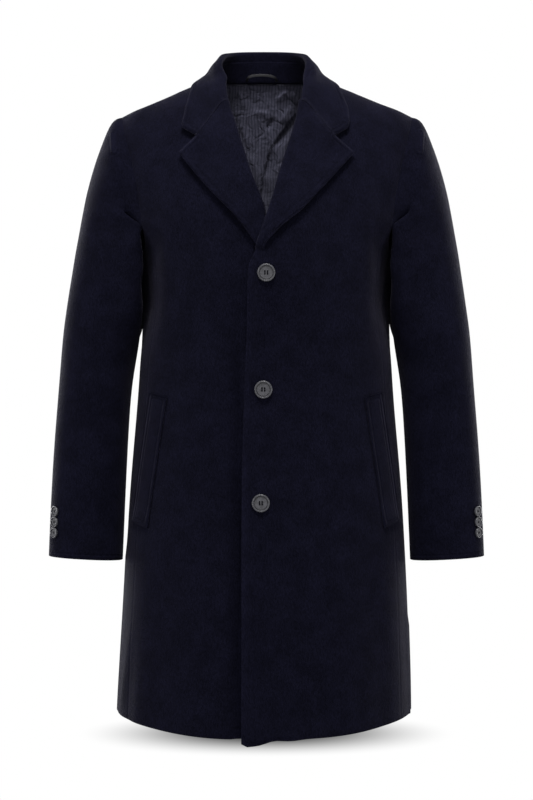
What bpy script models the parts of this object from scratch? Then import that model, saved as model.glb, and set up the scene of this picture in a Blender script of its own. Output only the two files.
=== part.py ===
"""Single-breasted wool overcoat, filled out as it hangs when worn, and empty inside.

Every cloth piece is a wall on a grid of points. The grids share their seams, so the walls are mitred
there and stand a seam's gap apart. +Z is up, the front faces -Y and the wearer's left is +X. The origin
lies between the neck points, where the shoulders carry the coat.
"""

import math

import bmesh
import bpy
import numpy as np
from mathutils import Matrix, Vector, kdtree

# Cloth, in metres
CLOTH = 0.0028
TURNED_CLOTH = 0.0036
LINING_CLOTH = 0.0010
SEAM = 0.0003
LYING_GAP = 0.0006

# Power of the superellipse that rounds the body's rings and the sleeves' rings
BODY_POWER = 2.3
SLEEVE_POWER = 2.2

# Rings of the body, from the neck down
# height, half width, depth to centre front, depth to centre back
BODY_RINGS = (
    (0.040, 0.0400, 0.036, 0.058),
    (0.018, 0.0660, 0.050, 0.075),
    (0.012, 0.0800, 0.056, 0.079),
    (-0.002, 0.1090, 0.068, 0.087),
    (-0.0205, 0.1520, 0.080, 0.097),
    (-0.0385, 0.1950, 0.090, 0.105),
    (-0.0475, 0.2170, 0.096, 0.109),
    (-0.062, 0.2265, 0.106, 0.114),
    (-0.085, 0.2310, 0.119, 0.121),
    (-0.120, 0.2280, 0.135, 0.129),
    (-0.160, 0.2190, 0.150, 0.134),
    (-0.200, 0.2080, 0.160, 0.135),
    (-0.245, 0.1970, 0.166, 0.131),
    (-0.300, 0.1895, 0.165, 0.124),
    (-0.350, 0.1858, 0.161, 0.118),
    (-0.423, 0.1880, 0.157, 0.116),
    (-0.513, 0.1950, 0.156, 0.123),
    (-0.603, 0.2025, 0.159, 0.132),
    (-0.693, 0.2078, 0.163, 0.139),
    (-0.805, 0.2135, 0.168, 0.143),
    (-0.918, 0.2183, 0.172, 0.145),
    (-0.970, 0.2195, 0.174, 0.146),
)

# How far the coat hangs to one side
# height, shift in x
LEAN = (
    (0.070, -0.0038),
    (0.015, -0.0032),
    (-0.050, 0.0008),
    (-0.250, 0.0005),
    (-0.360, -0.0008),
    (-0.470, -0.0012),
    (-0.700, -0.0011),
    (-0.960, -0.0040),
)

# Heights that the seams and rows share
SHOULDER_HEIGHT = -0.0475
NECK_POINT_HEIGHT = 0.012
NAPE_HEIGHT = 0.0185
BREAK_HEIGHT = -0.277
FRONT_SEAM_TOP = -0.215
BACK_SEAM_TOP = -0.197
UNDERARM_HEIGHT = -0.247
# rows below the underarm, share of its dip
UNDERARM_ROWS = ((0, 1.0), (1, 0.62), (2, 0.25))
UNDERARM_ROUNDNESS = 0.8
LOW_ROWS = (-0.895, -0.825, -0.755, -0.685, -0.615, -0.545, -0.475, -0.405, -0.345, -0.310)
FRONT_ROWS = LOW_ROWS + (BREAK_HEIGHT, -0.246, FRONT_SEAM_TOP)
BACK_ROWS = LOW_ROWS + (-0.276, -0.236, BACK_SEAM_TOP)

# Hem: height at the sides, and how much lower the front and higher the back hangs
HEM_SIDE = -0.9315
HEM_FRONT_DROP = 0.0180
HEM_BACK_RISE = 0.0030
HEM_CORNER_SAG = 0.0095
HEM_SAG_TURNS = (12.0, -6.0)

# Middle of the chest, from which points are moved onto the body
CHEST_MIDDLE = (0.0, -0.010, -0.210)

# Seams of the side panel, in degrees round from centre front
FRONT_SEAM_TURN = 64.0
BACK_SEAM_TURN = 111.0
SEAM_BEND_HEIGHT = -0.450

# Armhole on the front and back panels
# height, distance from the centre
ARMHOLE_FRONT = (
    (SHOULDER_HEIGHT, 0.2170),
    (-0.075, 0.2095),
    (-0.105, 0.2020),
    (-0.135, 0.1945),
    (-0.165, 0.1885),
    (-0.192, 0.1845),
    (FRONT_SEAM_TOP, 0.1825),
)
ARMHOLE_BACK = (
    (SHOULDER_HEIGHT, 0.2170),
    (-0.080, 0.2125),
    (-0.120, 0.2060),
    (-0.160, 0.2005),
    (BACK_SEAM_TOP, 0.1975),
)

# Neckline of the front below the neck point
# height, distance from the centre
NECKLINE_FRONT = (
    (NECK_POINT_HEIGHT, 0.0800),
    (0.006, 0.0790),
    (-0.004, 0.0755),
    (-0.020, 0.0675),
)

# Front overlap: past the centre, and how the layers give way to each other
EXTENSION = 0.0310
UNDER_SINK = 0.0037
OVER_LIFT = 0.0066
# where each starts and where it is whole: across the front, then by height
LIFT_ACROSS = (0.095, 0.040)
LIFT_FROM_BELOW = (-0.375, -0.300)
LIFT_FROM_ABOVE = (-0.120, -0.205)
SINK_ACROSS = (0.080, 0.036)
SINK_FROM_ABOVE = (-0.100, -0.190)

# Lapel: the folded edge that shows, its turn and its outer corners, as distance from the centre and height
# height, distance from the centre
ROLL_LINE = (
    (-0.0385, 0.0495),
    (-0.0937, 0.0398),
    (-0.1405, 0.0285),
    (-0.1850, 0.0153),
    (-0.2106, 0.0055),
    (-0.2450, -0.0100),
    (BREAK_HEIGHT, -0.0275),
)
V_SHIFT = -0.0040
NOTCH_SHIFT = -0.0020
LEAF_EDGE_SHIFT = -0.0030
ROLL_FLAT = 0.0012
ROLL_RADIUS = 0.0020
ROLL_RADIUS_LOW = 0.0007
ROLL_FLAT_LOW = 0.0004
ROLL_OPENS = (-0.250, -0.120)
FOLD_TURN = 165.0
LEAF_START = 0.0010
GORGE_START = 0.0040
LEAF_START_HEIGHT = 1.9
NOTCH = (0.0965, -0.0915)
LAPEL_POINT = (0.1215, -0.1155)
COLLAR_POINT = (0.1185, -0.0775)
# height, distance from the centre on the left, on the right
LAPEL_EDGE = (
    (LAPEL_POINT[1], LAPEL_POINT[0], LAPEL_POINT[0]),
    (-0.1400, 0.1010, 0.1030),
    (-0.1818, 0.0640, 0.0700),
    (-0.2093, 0.0330, 0.0470),
    (-0.2333, 0.0065, 0.0265),
    (-0.2544, -0.0105, 0.0090),
    (-0.2735, -0.0150, -0.0100),
)
LEAF_REST = 0.0014

# Collar: where it folds over and where its leaf ends, from the nape to the neck's front
# share of the neckline, then x, y and height of the fold, then x, y and height of the leaf's edge
COLLAR_STATIONS = (
    (0.00, 0.0000, 0.0715, 0.0620, 0.0000, 0.0900, 0.0100),
    (0.26, 0.0412, 0.0525, 0.0575, 0.0660, 0.0680, 0.0060),
    (0.52, 0.0605, 0.0060, 0.0450, 0.0920, 0.0020, -0.0040),
    (0.70, 0.0585, -0.0330, 0.0270, 0.0970, -0.0540, -0.0320),
    (0.86, 0.0570, -0.0610, -0.0010, 0.1105, -0.0820, -0.0560),
)
STAND_BELOW_FOLD = 0.0120
STAND_MOST_BELOW = 0.45
FALL_TURN_FLAT = 0.0004
LEAF_TANGENT = 0.05

# Sleeve rings from the head of the sleeve to the cuff, as seen from the front
# outer x, outer height, inner x, inner height, middle y, half depth
SLEEVE_RINGS = (
    (0.2312, -0.0570, 0.1985, -0.2500, -0.007, 0.078),
    (0.2455, -0.0880, 0.1990, -0.2540, -0.006, 0.077),
    (0.2566, -0.1180, 0.1930, -0.2590, -0.005, 0.075),
    (0.2666, -0.1530, 0.1820, -0.2670, -0.005, 0.073),
    (0.2750, -0.1920, 0.1700, -0.2790, -0.005, 0.071),
    (0.2828, -0.2350, 0.1630, -0.2970, -0.006, 0.069),
    (0.2903, -0.2810, 0.1620, -0.3220, -0.007, 0.066),
    (0.2973, -0.3270, 0.1740, -0.3530, -0.009, 0.063),
    (0.3038, -0.3790, 0.1915, -0.3920, -0.011, 0.060),
    (0.3080, -0.4350, 0.1992, -0.4410, -0.013, 0.057),
    (0.3125, -0.4950, 0.2042, -0.4980, -0.016, 0.053),
    (0.3168, -0.5560, 0.2075, -0.5590, -0.019, 0.050),
    (0.3200, -0.6180, 0.2102, -0.6220, -0.022, 0.047),
    (0.3220, -0.6630, 0.2120, -0.6670, -0.023, 0.045),
    (0.3234, -0.7010, 0.2137, -0.7070, -0.024, 0.044),
)
SLEEVE_TWIST = 52.0
SLEEVE_CLEAR = 0.0022
SLEEVE_SWING = 0.0010
SLEEVE_SWINGS_FROM = (-0.260, -0.400)

# Segments that neighbouring pieces share along their seams
NECK_FRONT_STEPS = 5
NECK_BACK_STEPS = 6
SHOULDER_STEPS = 6
ARMHOLE_STEPS = 8
ARMHOLE_UNDER_STEPS = 6
GORGE_STEPS = 4
LEAF_END_STEPS = 3
FOLD_STEPS = 5
ROLL_LOW_STEPS = 2
FRONT_COLUMNS = NECK_FRONT_STEPS + SHOULDER_STEPS
BACK_COLUMNS = NECK_BACK_STEPS + SHOULDER_STEPS

# Seams of the two-piece sleeve, as steps round the armhole from its top towards the front
FOREARM_SEAM_STEP = 8
HIND_SEAM_STEP = 18

# Pocket welts: corners as distance from the centre and height
WELT_TOP_INNER = (0.1410, -0.4655)
WELT_TOP_OUTER = (0.1670, -0.4590)
WELT_LOW_INNER = (0.1695, -0.6555)
WELT_LOW_OUTER = (0.1935, -0.6480)
WELT_CLOTH = 0.0024
WELT_COLUMNS = 4
WELT_ROWS = 10

# Buttons: how far they reach across and how thick they are
FRONT_BUTTON = (0.0250, 0.0042)
CUFF_BUTTON = (0.0150, 0.0034)
# height, distance from the centre
FRONT_BUTTON_PLACES = ((-0.2900, -0.0003), (-0.4550, -0.0030), (-0.6160, -0.0066))
CUFF_BUTTON_HEIGHTS = (-0.6338, -0.6495, -0.6652)
CUFF_BUTTON_TURN = 38.0
BUTTON_SIDES = 16
# share of the radius, share of the thickness, from the middle of the face to the back
BUTTON_PROFILE = (
    (0.0, 0.60),
    (0.62, 0.60),
    (0.76, 0.66),
    (0.86, 1.0),
    (1.0, 0.62),
    (0.92, 0.12),
    (0.70, 0.0),
    (0.0, 0.0),
)

# Lining of the back, and the hanger loop at the nape
LINING_RISE = 0.0250
LINING_INSET = 0.0020
LOOP_MIDDLE = -0.0040
LOOP_HALF_SPAN = 0.0230
LOOP_RISE = 0.0095
LOOP_STAND_OFF = 0.0085
LOOP_THICKNESS = 0.0016
LOOP_WIDTH = 0.0042
LOOP_STEPS = 14
LOOP_ARCH_POWER = 0.6
LOOP_FOOT = 0.0005

# How finely lines are drawn before they are spaced, and steps for reading slopes and closing in on the body
LINE_POINTS = 60
SLOPE_STEP = 0.0005
TURN_STEP = 1.0
SETTLE_REACH = (0.4, 1.8)
SETTLE_HALVINGS = 48
SAME_POINT = 1e-5
# from which agreement of their directions pieces that meet share a normal, and where they share it in full
SEWN_AGREEMENT = (-0.2, 0.4)
SHARP_ANGLE = 50.0

# Finishes: sRGB-linear colour, roughness
NAVY_WOOL = ((0.0065, 0.0062, 0.0125), 0.92)
GREY_LINING = ((0.030, 0.029, 0.042), 0.55)
GREY_SATIN = ((0.026, 0.025, 0.034), 0.35)
GREY_HORN = ((0.085, 0.085, 0.090), 0.38)


def smooth_table(rows, column):
    """A smooth function of the rows' first column, with no overshoot between them."""
    ordered = sorted(rows)
    at = np.array([row[0] for row in ordered])
    value = np.array([row[column] for row in ordered])
    step = np.diff(at)
    rise = np.diff(value) / step
    slope = np.zeros(len(at))
    same_way = rise[:-1] * rise[1:] > 0
    before = np.where(same_way, rise[:-1], 1.0)
    after = np.where(same_way, rise[1:], 1.0)
    slope[1:-1] = np.where(same_way, 2 * before * after / (before + after), 0.0)
    slope[0] = rise[0]
    slope[-1] = rise[-1]

    def read(where):
        where = np.clip(np.asarray(where, float), at[0], at[-1])
        place = np.clip(np.searchsorted(at, where, side="right") - 1, 0, len(step) - 1)
        t = (where - at[place]) / step[place]
        hermite = (
            (1 + 2 * t) * (1 - t) ** 2 * value[place]
            + t * (1 - t) ** 2 * step[place] * slope[place]
            + t * t * (3 - 2 * t) * value[place + 1]
            + t * t * (t - 1) * step[place] * slope[place + 1]
        )
        return hermite

    return read


half_width = smooth_table(BODY_RINGS, 1)
front_depth = smooth_table(BODY_RINGS, 2)
back_depth = smooth_table(BODY_RINGS, 3)
lean = smooth_table(LEAN, 1)


def ease(value, start, end):
    """0 at start, 1 at end, smooth between; start may be the larger."""
    t = np.clip((np.asarray(value, float) - start) / (end - start), 0.0, 1.0)
    return t * t * (3 - 2 * t)


def unit(vectors):
    return vectors / np.maximum(np.linalg.norm(vectors, axis=-1, keepdims=True), 1e-12)


def ring_point(turn, height):
    """The body's surface at a turn in degrees from centre front, positive to one side."""
    turn, height = np.broadcast_arrays(np.radians(turn), np.asarray(height, float))
    sine, cosine = np.sin(turn), np.cos(turn)
    depth = np.where(cosine > 0, front_depth(height), back_depth(height))
    x = half_width(height) * np.sign(sine) * np.abs(sine) ** (2 / BODY_POWER)
    y = -depth * np.sign(cosine) * np.abs(cosine) ** (2 / BODY_POWER)
    return np.stack([x, y, height], axis=-1)


def turn_at(x, height):
    """The turn in degrees where the front of a ring is this far from the centre."""
    share = np.clip(np.abs(x) / half_width(height), 0.0, 1.0)
    return np.degrees(np.sign(x) * np.arcsin(share ** (BODY_POWER / 2)))


def chest_point(x, height):
    return ring_point(turn_at(np.asarray(x, float), np.asarray(height, float)), height)


def filling(points):
    """1 on the body's surface, less inside it and more outside."""
    height = points[..., 2]
    depth = np.where(points[..., 1] < 0, front_depth(height), back_depth(height))
    across = np.abs(points[..., 0]) / half_width(height)
    along = np.abs(points[..., 1]) / depth
    return across**BODY_POWER + along**BODY_POWER


def outward(points):
    """The body's outward direction at points on it."""
    slopes = []
    for axis in np.eye(3) * SLOPE_STEP:
        slopes.append(filling(points + axis) - filling(points - axis))
    return unit(np.stack(slopes, axis=-1))


def settled(points):
    """Each point moved onto the body, along its line from the middle of the chest."""
    heart = np.array(CHEST_MIDDLE)
    ray = points - heart
    near = np.full(points.shape[:-1], SETTLE_REACH[0])
    far = np.full(points.shape[:-1], SETTLE_REACH[1])
    for _ in range(SETTLE_HALVINGS):
        middle = (near + far) / 2
        inside = filling(heart + ray * middle[..., None]) < 1
        near = np.where(inside, middle, near)
        far = np.where(inside, far, middle)
    return heart + ray * near[..., None]


def clear_of_body(points, lift):
    """Points that are nearer to the body than lift are moved out to it."""
    on_body = settled(points)
    out = outward(on_body)
    height = np.sum((points - on_body) * out, axis=-1)
    return np.where((height < lift)[..., None], on_body + out * np.asarray(lift)[..., None], points)


def spaced(points, count):
    """The line through these points as count steps of equal length."""
    length = np.concatenate([[0.0], np.cumsum(np.linalg.norm(np.diff(points, axis=0), axis=1))])
    at = np.linspace(0.0, length[-1], count + 1)
    return np.stack([np.interp(at, length, points[:, axis]) for axis in range(points.shape[1])], axis=1)


def patch(bottom, top, left, right):
    """A grid between four lines, with rows from bottom to top and columns from left to right."""
    v = np.linspace(0.0, 1.0, len(left))[:, None, None]
    u = np.linspace(0.0, 1.0, len(bottom))[None, :, None]
    between_rows = (1 - v) * bottom[None] + v * top[None]
    between_columns = (1 - u) * left[:, None] + u * right[:, None]
    low = (1 - u) * bottom[0] + u * bottom[-1]
    high = (1 - u) * top[0] + u * top[-1]
    return between_rows + between_columns - (1 - v) * low - v * high


def front_lift(side, x, height):
    """How far the layers of the front stand off the body's form near the overlap."""
    if side > 0:
        along = ease(height, *LIFT_FROM_BELOW) * ease(height, *LIFT_FROM_ABOVE)
        return OVER_LIFT * ease(x, *LIFT_ACROSS) * along
    return -UNDER_SINK * ease(x, *SINK_ACROSS) * ease(height, *SINK_FROM_ABOVE)


def on_front(side, x, height, above=0.0):
    """A point on one front, in that side's own coordinates, raised above it."""
    point = chest_point(x, height)
    lift = front_lift(side, np.asarray(x, float), np.asarray(height, float)) + above
    return point + outward(point) * np.asarray(lift)[..., None]


def hem_height(turn):
    across = np.cos(np.radians(turn))
    return HEM_SIDE + np.where(across > 0, -HEM_FRONT_DROP, HEM_BACK_RISE) * across**2


def roll(side):
    """The lapel's roll on each of the front's rows, from the break up.

    It gives the panel's border behind the roll as distance from the centre and height, the direction
    from the roll to the panel, the turn's radius, the flat before the turn, and the cloth's thickness."""
    x_at = smooth_table(ROLL_LINE, 1)
    height = np.linspace(BREAK_HEIGHT, ROLL_LINE[0][0], LINE_POINTS)
    line = np.stack([x_at(height) + side * V_SHIFT, height], axis=1)
    along = unit(np.gradient(line, axis=0))
    away = np.stack([along[:, 1], -along[:, 0]], axis=1)
    opened = ease(height, *ROLL_OPENS)
    radius = ROLL_RADIUS_LOW + (ROLL_RADIUS - ROLL_RADIUS_LOW) * opened
    flat = ROLL_FLAT_LOW + (ROLL_FLAT - ROLL_FLAT_LOW) * opened
    cloth = CLOTH + (TURNED_CLOTH - CLOTH) * opened
    border = line + away * (flat + radius + cloth)[:, None]
    high = spaced(border[border[:, 1] >= FRONT_SEAM_TOP], ARMHOLE_STEPS)
    rows = np.concatenate([FRONT_ROWS[-1 - ROLL_LOW_STEPS :], high[1:, 1]])

    def on_rows(values):
        return np.interp(rows, border[:, 1], values)

    row_border = np.stack([smooth_table(border[:, ::-1].tolist(), 1)(rows), rows], axis=1)
    row_away = np.stack([on_rows(away[:, 0]), on_rows(away[:, 1])], axis=1)
    return row_border, row_away, on_rows(radius), on_rows(flat), on_rows(cloth)


def shoulder_line():
    height = np.linspace(NECK_POINT_HEIGHT, SHOULDER_HEIGHT, LINE_POINTS)
    return spaced(ring_point(90.0, height), SHOULDER_STEPS)


def neckline_front(side):
    """From the gorge, at the top of the lapel's roll, up to the neck point."""
    gorge_x, gorge_height = roll(side)[0][-1]
    rows = NECKLINE_FRONT + ((gorge_height, gorge_x),)
    height = np.linspace(gorge_height, NECK_POINT_HEIGHT, LINE_POINTS)
    return spaced(chest_point(smooth_table(rows, 1)(height), height), NECK_FRONT_STEPS)


def neckline_back():
    """From the neck point to the nape."""
    turn = np.linspace(90.0, 180.0, LINE_POINTS)
    height = NECK_POINT_HEIGHT + (NAPE_HEIGHT - NECK_POINT_HEIGHT) * ease(turn, 90.0, 180.0)
    return spaced(ring_point(turn, height), NECK_BACK_STEPS)


def armhole_front():
    """From the side panel's front seam up to the shoulder point."""
    height = np.linspace(FRONT_SEAM_TOP, SHOULDER_HEIGHT, LINE_POINTS)
    line = chest_point(smooth_table(ARMHOLE_FRONT, 1)(height), height)
    line[-1] = ring_point(90.0, SHOULDER_HEIGHT)
    return spaced(line, ARMHOLE_STEPS)


def armhole_back():
    """From the side panel's back seam up to the shoulder point."""
    height = np.linspace(BACK_SEAM_TOP, SHOULDER_HEIGHT, LINE_POINTS)
    x = smooth_table(ARMHOLE_BACK, 1)(height)
    line = ring_point(180.0 - turn_at(x, height), height)
    line[-1] = ring_point(90.0, SHOULDER_HEIGHT)
    return spaced(line, ARMHOLE_STEPS)


def armhole_under():
    """From the front seam, under the arm, to the back seam."""
    start = armhole_front()[0]
    end = armhole_back()[0]
    first = turn_at(start[0], start[2])
    last = 180.0 - turn_at(end[0], end[2])
    share = np.linspace(0.0, 1.0, LINE_POINTS)
    turn = first + (last - first) * share
    level = start[2] + (end[2] - start[2]) * share
    sag = UNDERARM_HEIGHT - (start[2] + end[2]) / 2
    line = ring_point(turn, level + sag * np.sin(np.pi * share) ** UNDERARM_ROUNDNESS)
    line[0] = start
    line[-1] = end
    return spaced(line, ARMHOLE_UNDER_STEPS)


def seam_turn(rows, top_point, low_turn):
    """The turn of a side panel's seam on each row, easing from the hem to the armhole."""
    top = turn_at(top_point[0], top_point[2])
    if top_point[1] > 0:
        top = 180.0 - top
    return low_turn + (top - low_turn) * ease(np.array(rows), SEAM_BEND_HEIGHT, rows[-1])


def lower_grid(left_turn, right_turn, left_rows, right_rows, columns, sag=0.0):
    """Level rows from the hem up, between two borders given as turns on each row."""
    share = np.linspace(0.0, 1.0, columns + 1)[None, :]
    hem_turn = left_turn[0] + (right_turn[0] - left_turn[0]) * share
    turn = left_turn[:, None] * (1 - share) + right_turn[:, None] * share
    height = left_rows[:, None] * (1 - share) + right_rows[:, None] * share
    hem = hem_height(hem_turn) - sag * ease(hem_turn, *HEM_SAG_TURNS)
    turn = np.concatenate([hem_turn, turn])
    height = np.concatenate([hem, height])
    return ring_point(turn, height)


def front_grid(side):
    """Front from its edge to the side panel's seam, the hem to the shoulder."""
    rows = np.array(FRONT_ROWS)
    armhole = armhole_front()
    border = roll(side)[0]
    edge_x = np.full(len(rows), -EXTENSION)
    edge_x[-1 - ROLL_LOW_STEPS :] = border[: ROLL_LOW_STEPS + 1, 0]
    left = turn_at(edge_x, rows)
    right = seam_turn(FRONT_ROWS, armhole[0], FRONT_SEAM_TURN)
    low = lower_grid(left, right, rows, rows, FRONT_COLUMNS, HEM_CORNER_SAG if side > 0 else 0.0)
    low[-1, -1] = armhole[0]
    inner_border = chest_point(border[ROLL_LOW_STEPS:, 0], border[ROLL_LOW_STEPS:, 1])
    low[-1, 0] = inner_border[0]
    top = np.concatenate([neckline_front(side), shoulder_line()[1:]])
    high = patch(low[-1], top, inner_border, armhole)
    high[1:-1, 1:-1] = settled(high[1:-1, 1:-1])
    grid = np.concatenate([low, high[1:]])
    lift = front_lift(side, grid[..., 0], grid[..., 2])
    return grid + outward(grid) * lift[..., None]


def back_grid():
    """Back from the side panel's seam to the centre seam, the hem to the shoulder."""
    rows = np.array(BACK_ROWS)
    armhole = armhole_back()
    left = seam_turn(BACK_ROWS, armhole[0], BACK_SEAM_TURN)
    right = np.full(len(rows), 180.0)
    low = lower_grid(left, right, rows, rows, BACK_COLUMNS)
    low[-1, 0] = armhole[0]
    top = np.concatenate([shoulder_line()[::-1], neckline_back()[1:]])
    middle_height = np.linspace(BACK_SEAM_TOP, NAPE_HEIGHT, LINE_POINTS)
    centre = spaced(ring_point(180.0, middle_height), ARMHOLE_STEPS)
    high = patch(low[-1], top, armhole, centre)
    high[1:-1, 1:-1] = settled(high[1:-1, 1:-1])
    grid = np.concatenate([low, high[1:]])
    grid[:, -1, 0] = 0.0
    return grid


def side_grid():
    """Side panel between its two seams, the hem to the underarm."""
    under = armhole_under()
    front_rows = np.array(FRONT_ROWS)
    back_rows = np.array(BACK_ROWS)
    left = seam_turn(FRONT_ROWS, under[0], FRONT_SEAM_TURN)
    right = seam_turn(BACK_ROWS, under[-1], BACK_SEAM_TURN)
    grid = lower_grid(left, right, front_rows, back_rows, ARMHOLE_UNDER_STEPS)
    dip = under[:, 2] - grid[-1, :, 2]
    for below_top, share in UNDERARM_ROWS:
        row = len(grid) - 1 - below_top
        inner = slice(1, -1)
        turn = np.degrees(np.arctan2(grid[row, inner, 0], -grid[row, inner, 1]))
        height = grid[row, inner, 2] + dip[inner] * share
        grid[row, inner] = settled_level(turn, height)
    grid[-1] = under
    return grid


def settled_level(plan_turn, height):
    """The body's surface at this height, in a direction seen from above."""
    direction = np.stack([np.sin(np.radians(plan_turn)), -np.cos(np.radians(plan_turn))], axis=-1)
    reach = 1.0 / filling(np.concatenate([direction, height[:, None]], axis=1)) ** (1 / BODY_POWER)
    return np.concatenate([direction * reach[:, None], height[:, None]], axis=1)


def swung(points):
    """The sleeves' points moved as both sleeves swing a little to the wearer's left."""
    shift = SLEEVE_SWING * ease(points[..., 2], *SLEEVE_SWINGS_FROM)
    return points + np.stack([shift, 0.0 * shift, 0.0 * shift], axis=-1)


def sleeve_grid():
    """Whole sleeve, rings from the armhole to the cuff, points from the top round by the front."""
    loop = np.concatenate([armhole_front()[::-1], armhole_under()[1:], armhole_back()[1:]])
    length = np.concatenate([[0.0], np.cumsum(np.linalg.norm(np.diff(loop, axis=0), axis=1))])
    natural = 360.0 * length / length[-1]
    rings = [loop]
    for number, (outer_x, outer_z, inner_x, inner_z, middle_y, depth) in enumerate(SLEEVE_RINGS, 1):
        twist = SLEEVE_TWIST * ease(number, 2, len(SLEEVE_RINGS) - 2)
        turn = np.radians(natural + twist)
        power = 2 / SLEEVE_POWER
        across = np.sign(np.cos(turn)) * np.abs(np.cos(turn)) ** power
        forward = np.sign(np.sin(turn)) * np.abs(np.sin(turn)) ** power
        x = (outer_x + inner_x) / 2 + across * (outer_x - inner_x) / 2
        height = (outer_z + inner_z) / 2 + across * (outer_z - inner_z) / 2
        y = middle_y - forward * depth
        body_depth = np.where(y < 0, front_depth(height), back_depth(height))
        room = np.clip(1 - (np.abs(y) / body_depth) ** BODY_POWER, 0.0, 1.0) ** (1 / BODY_POWER)
        clear = half_width(height) * room + SLEEVE_CLEAR
        x = np.where(height < SHOULDER_HEIGHT, np.maximum(x, clear), x)
        rings.append(np.stack([x, y, height], axis=1))
    return np.array(rings)


def sleeve_place(turn, height):
    """A point on the sleeve and its outward direction, at a turn in degrees from the outer side forwards."""

    def at(turn, height):
        outer_x, inner_x, middle_y, depth = (smooth_table(rows, column)(height) for column in (1, 2, 3, 4))
        across = math.cos(math.radians(turn)) ** (2 / SLEEVE_POWER)
        forward = math.sin(math.radians(turn)) ** (2 / SLEEVE_POWER)
        x = (outer_x + inner_x) / 2 + across * (outer_x - inner_x) / 2
        return np.array([x, middle_y - forward * depth, height])

    rows = [(outer_z, outer_x, inner_x, y, depth) for outer_x, outer_z, inner_x, _, y, depth in SLEEVE_RINGS]
    along = at(turn, height + SLOPE_STEP) - at(turn, height - SLOPE_STEP)
    round_arm = at(turn + TURN_STEP, height) - at(turn - TURN_STEP, height)
    return at(turn, height), unit(np.cross(along, round_arm))


def fold(start, up, over, radius):
    """Points round the turn of a folded sheet, after its start."""
    angle = np.radians(np.linspace(0.0, FOLD_TURN, FOLD_STEPS + 1))[1:]
    middle = start + over * radius
    return middle - np.cos(angle)[:, None] * radius * over + np.sin(angle)[:, None] * radius * up


def gorge_places(side):
    """The seam of collar and lapel from the fold to the notch, as distance from the centre and height."""
    border, away, _, _, _ = roll(side)
    start = border[-1] + away[-1] * GORGE_START
    end = np.array([NOTCH[0] + side * NOTCH_SHIFT, NOTCH[1]])
    share = np.linspace(0.0, 1.0, GORGE_STEPS + 1)[:, None]
    return start + (end - start) * share


def end_places(side, corner):
    """From the notch to a corner of the collar or the lapel, past the notch itself."""
    notch = gorge_places(side)[-1]
    corner = np.array([corner[0] + side * NOTCH_SHIFT, corner[1]])
    share = np.linspace(0.0, 1.0, LEAF_END_STEPS + 1)[1:, None]
    return notch + (corner - notch) * share


def leaf_height(share, radius):
    """How far the leaf's underside lies above its panel, from the fold to the outer edge."""
    start = radius * LEAF_START_HEIGHT
    return LEAF_REST + np.maximum(start - LEAF_REST, 0.0) * (1 - share) ** 2


def lapel_grid(side):
    """Underside of the lapel: rows from the break to the gorge, columns from its edge to the panel."""
    border, away, radius, flat, cloth = roll(side)
    start = border + away * (radius + LEAF_START)[:, None]
    edge_x = smooth_table(LAPEL_EDGE, 1 if side > 0 else 2)
    edge_height = np.linspace(LAPEL_EDGE[-1][0], LAPEL_POINT[1], LINE_POINTS)
    edge = np.stack([edge_x(edge_height) + side * LEAF_EDGE_SHIFT, edge_height], axis=1)
    edge = spaced(edge, len(border) - 1)
    top = np.concatenate([gorge_places(side), end_places(side, LAPEL_POINT)])
    start[-1] = top[0]
    edge[-1] = top[-1]
    columns = len(top)
    bottom = start[0] + (edge[0] - start[0]) * np.linspace(0.0, 1.0, columns)[:, None]
    flat_leaf = patch(bottom, top, start, edge)
    share = np.linspace(0.0, 1.0, columns)[None, :]
    above = leaf_height(share, radius[:, None])
    leaf = on_front(side, flat_leaf[..., 0], flat_leaf[..., 1], above)
    panel = on_front(side, border[:, 0], border[:, 1])
    out = outward(chest_point(border[:, 0], border[:, 1]))
    beyond_flat = border - away * flat[:, None]
    up = unit(on_front(side, beyond_flat[:, 0], beyond_flat[:, 1]) - panel)
    grid = []
    for row in range(len(border)):
        bend = panel[row] + up[row] * flat[row]
        turn = fold(bend, up[row], out[row], radius[row])
        grid.append(np.concatenate([leaf[row][::-1], turn[::-1], [bend], [panel[row]]]))
    thickness = np.repeat(cloth[:, None], len(grid[0]), axis=1)
    return np.array(grid), thickness


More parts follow.
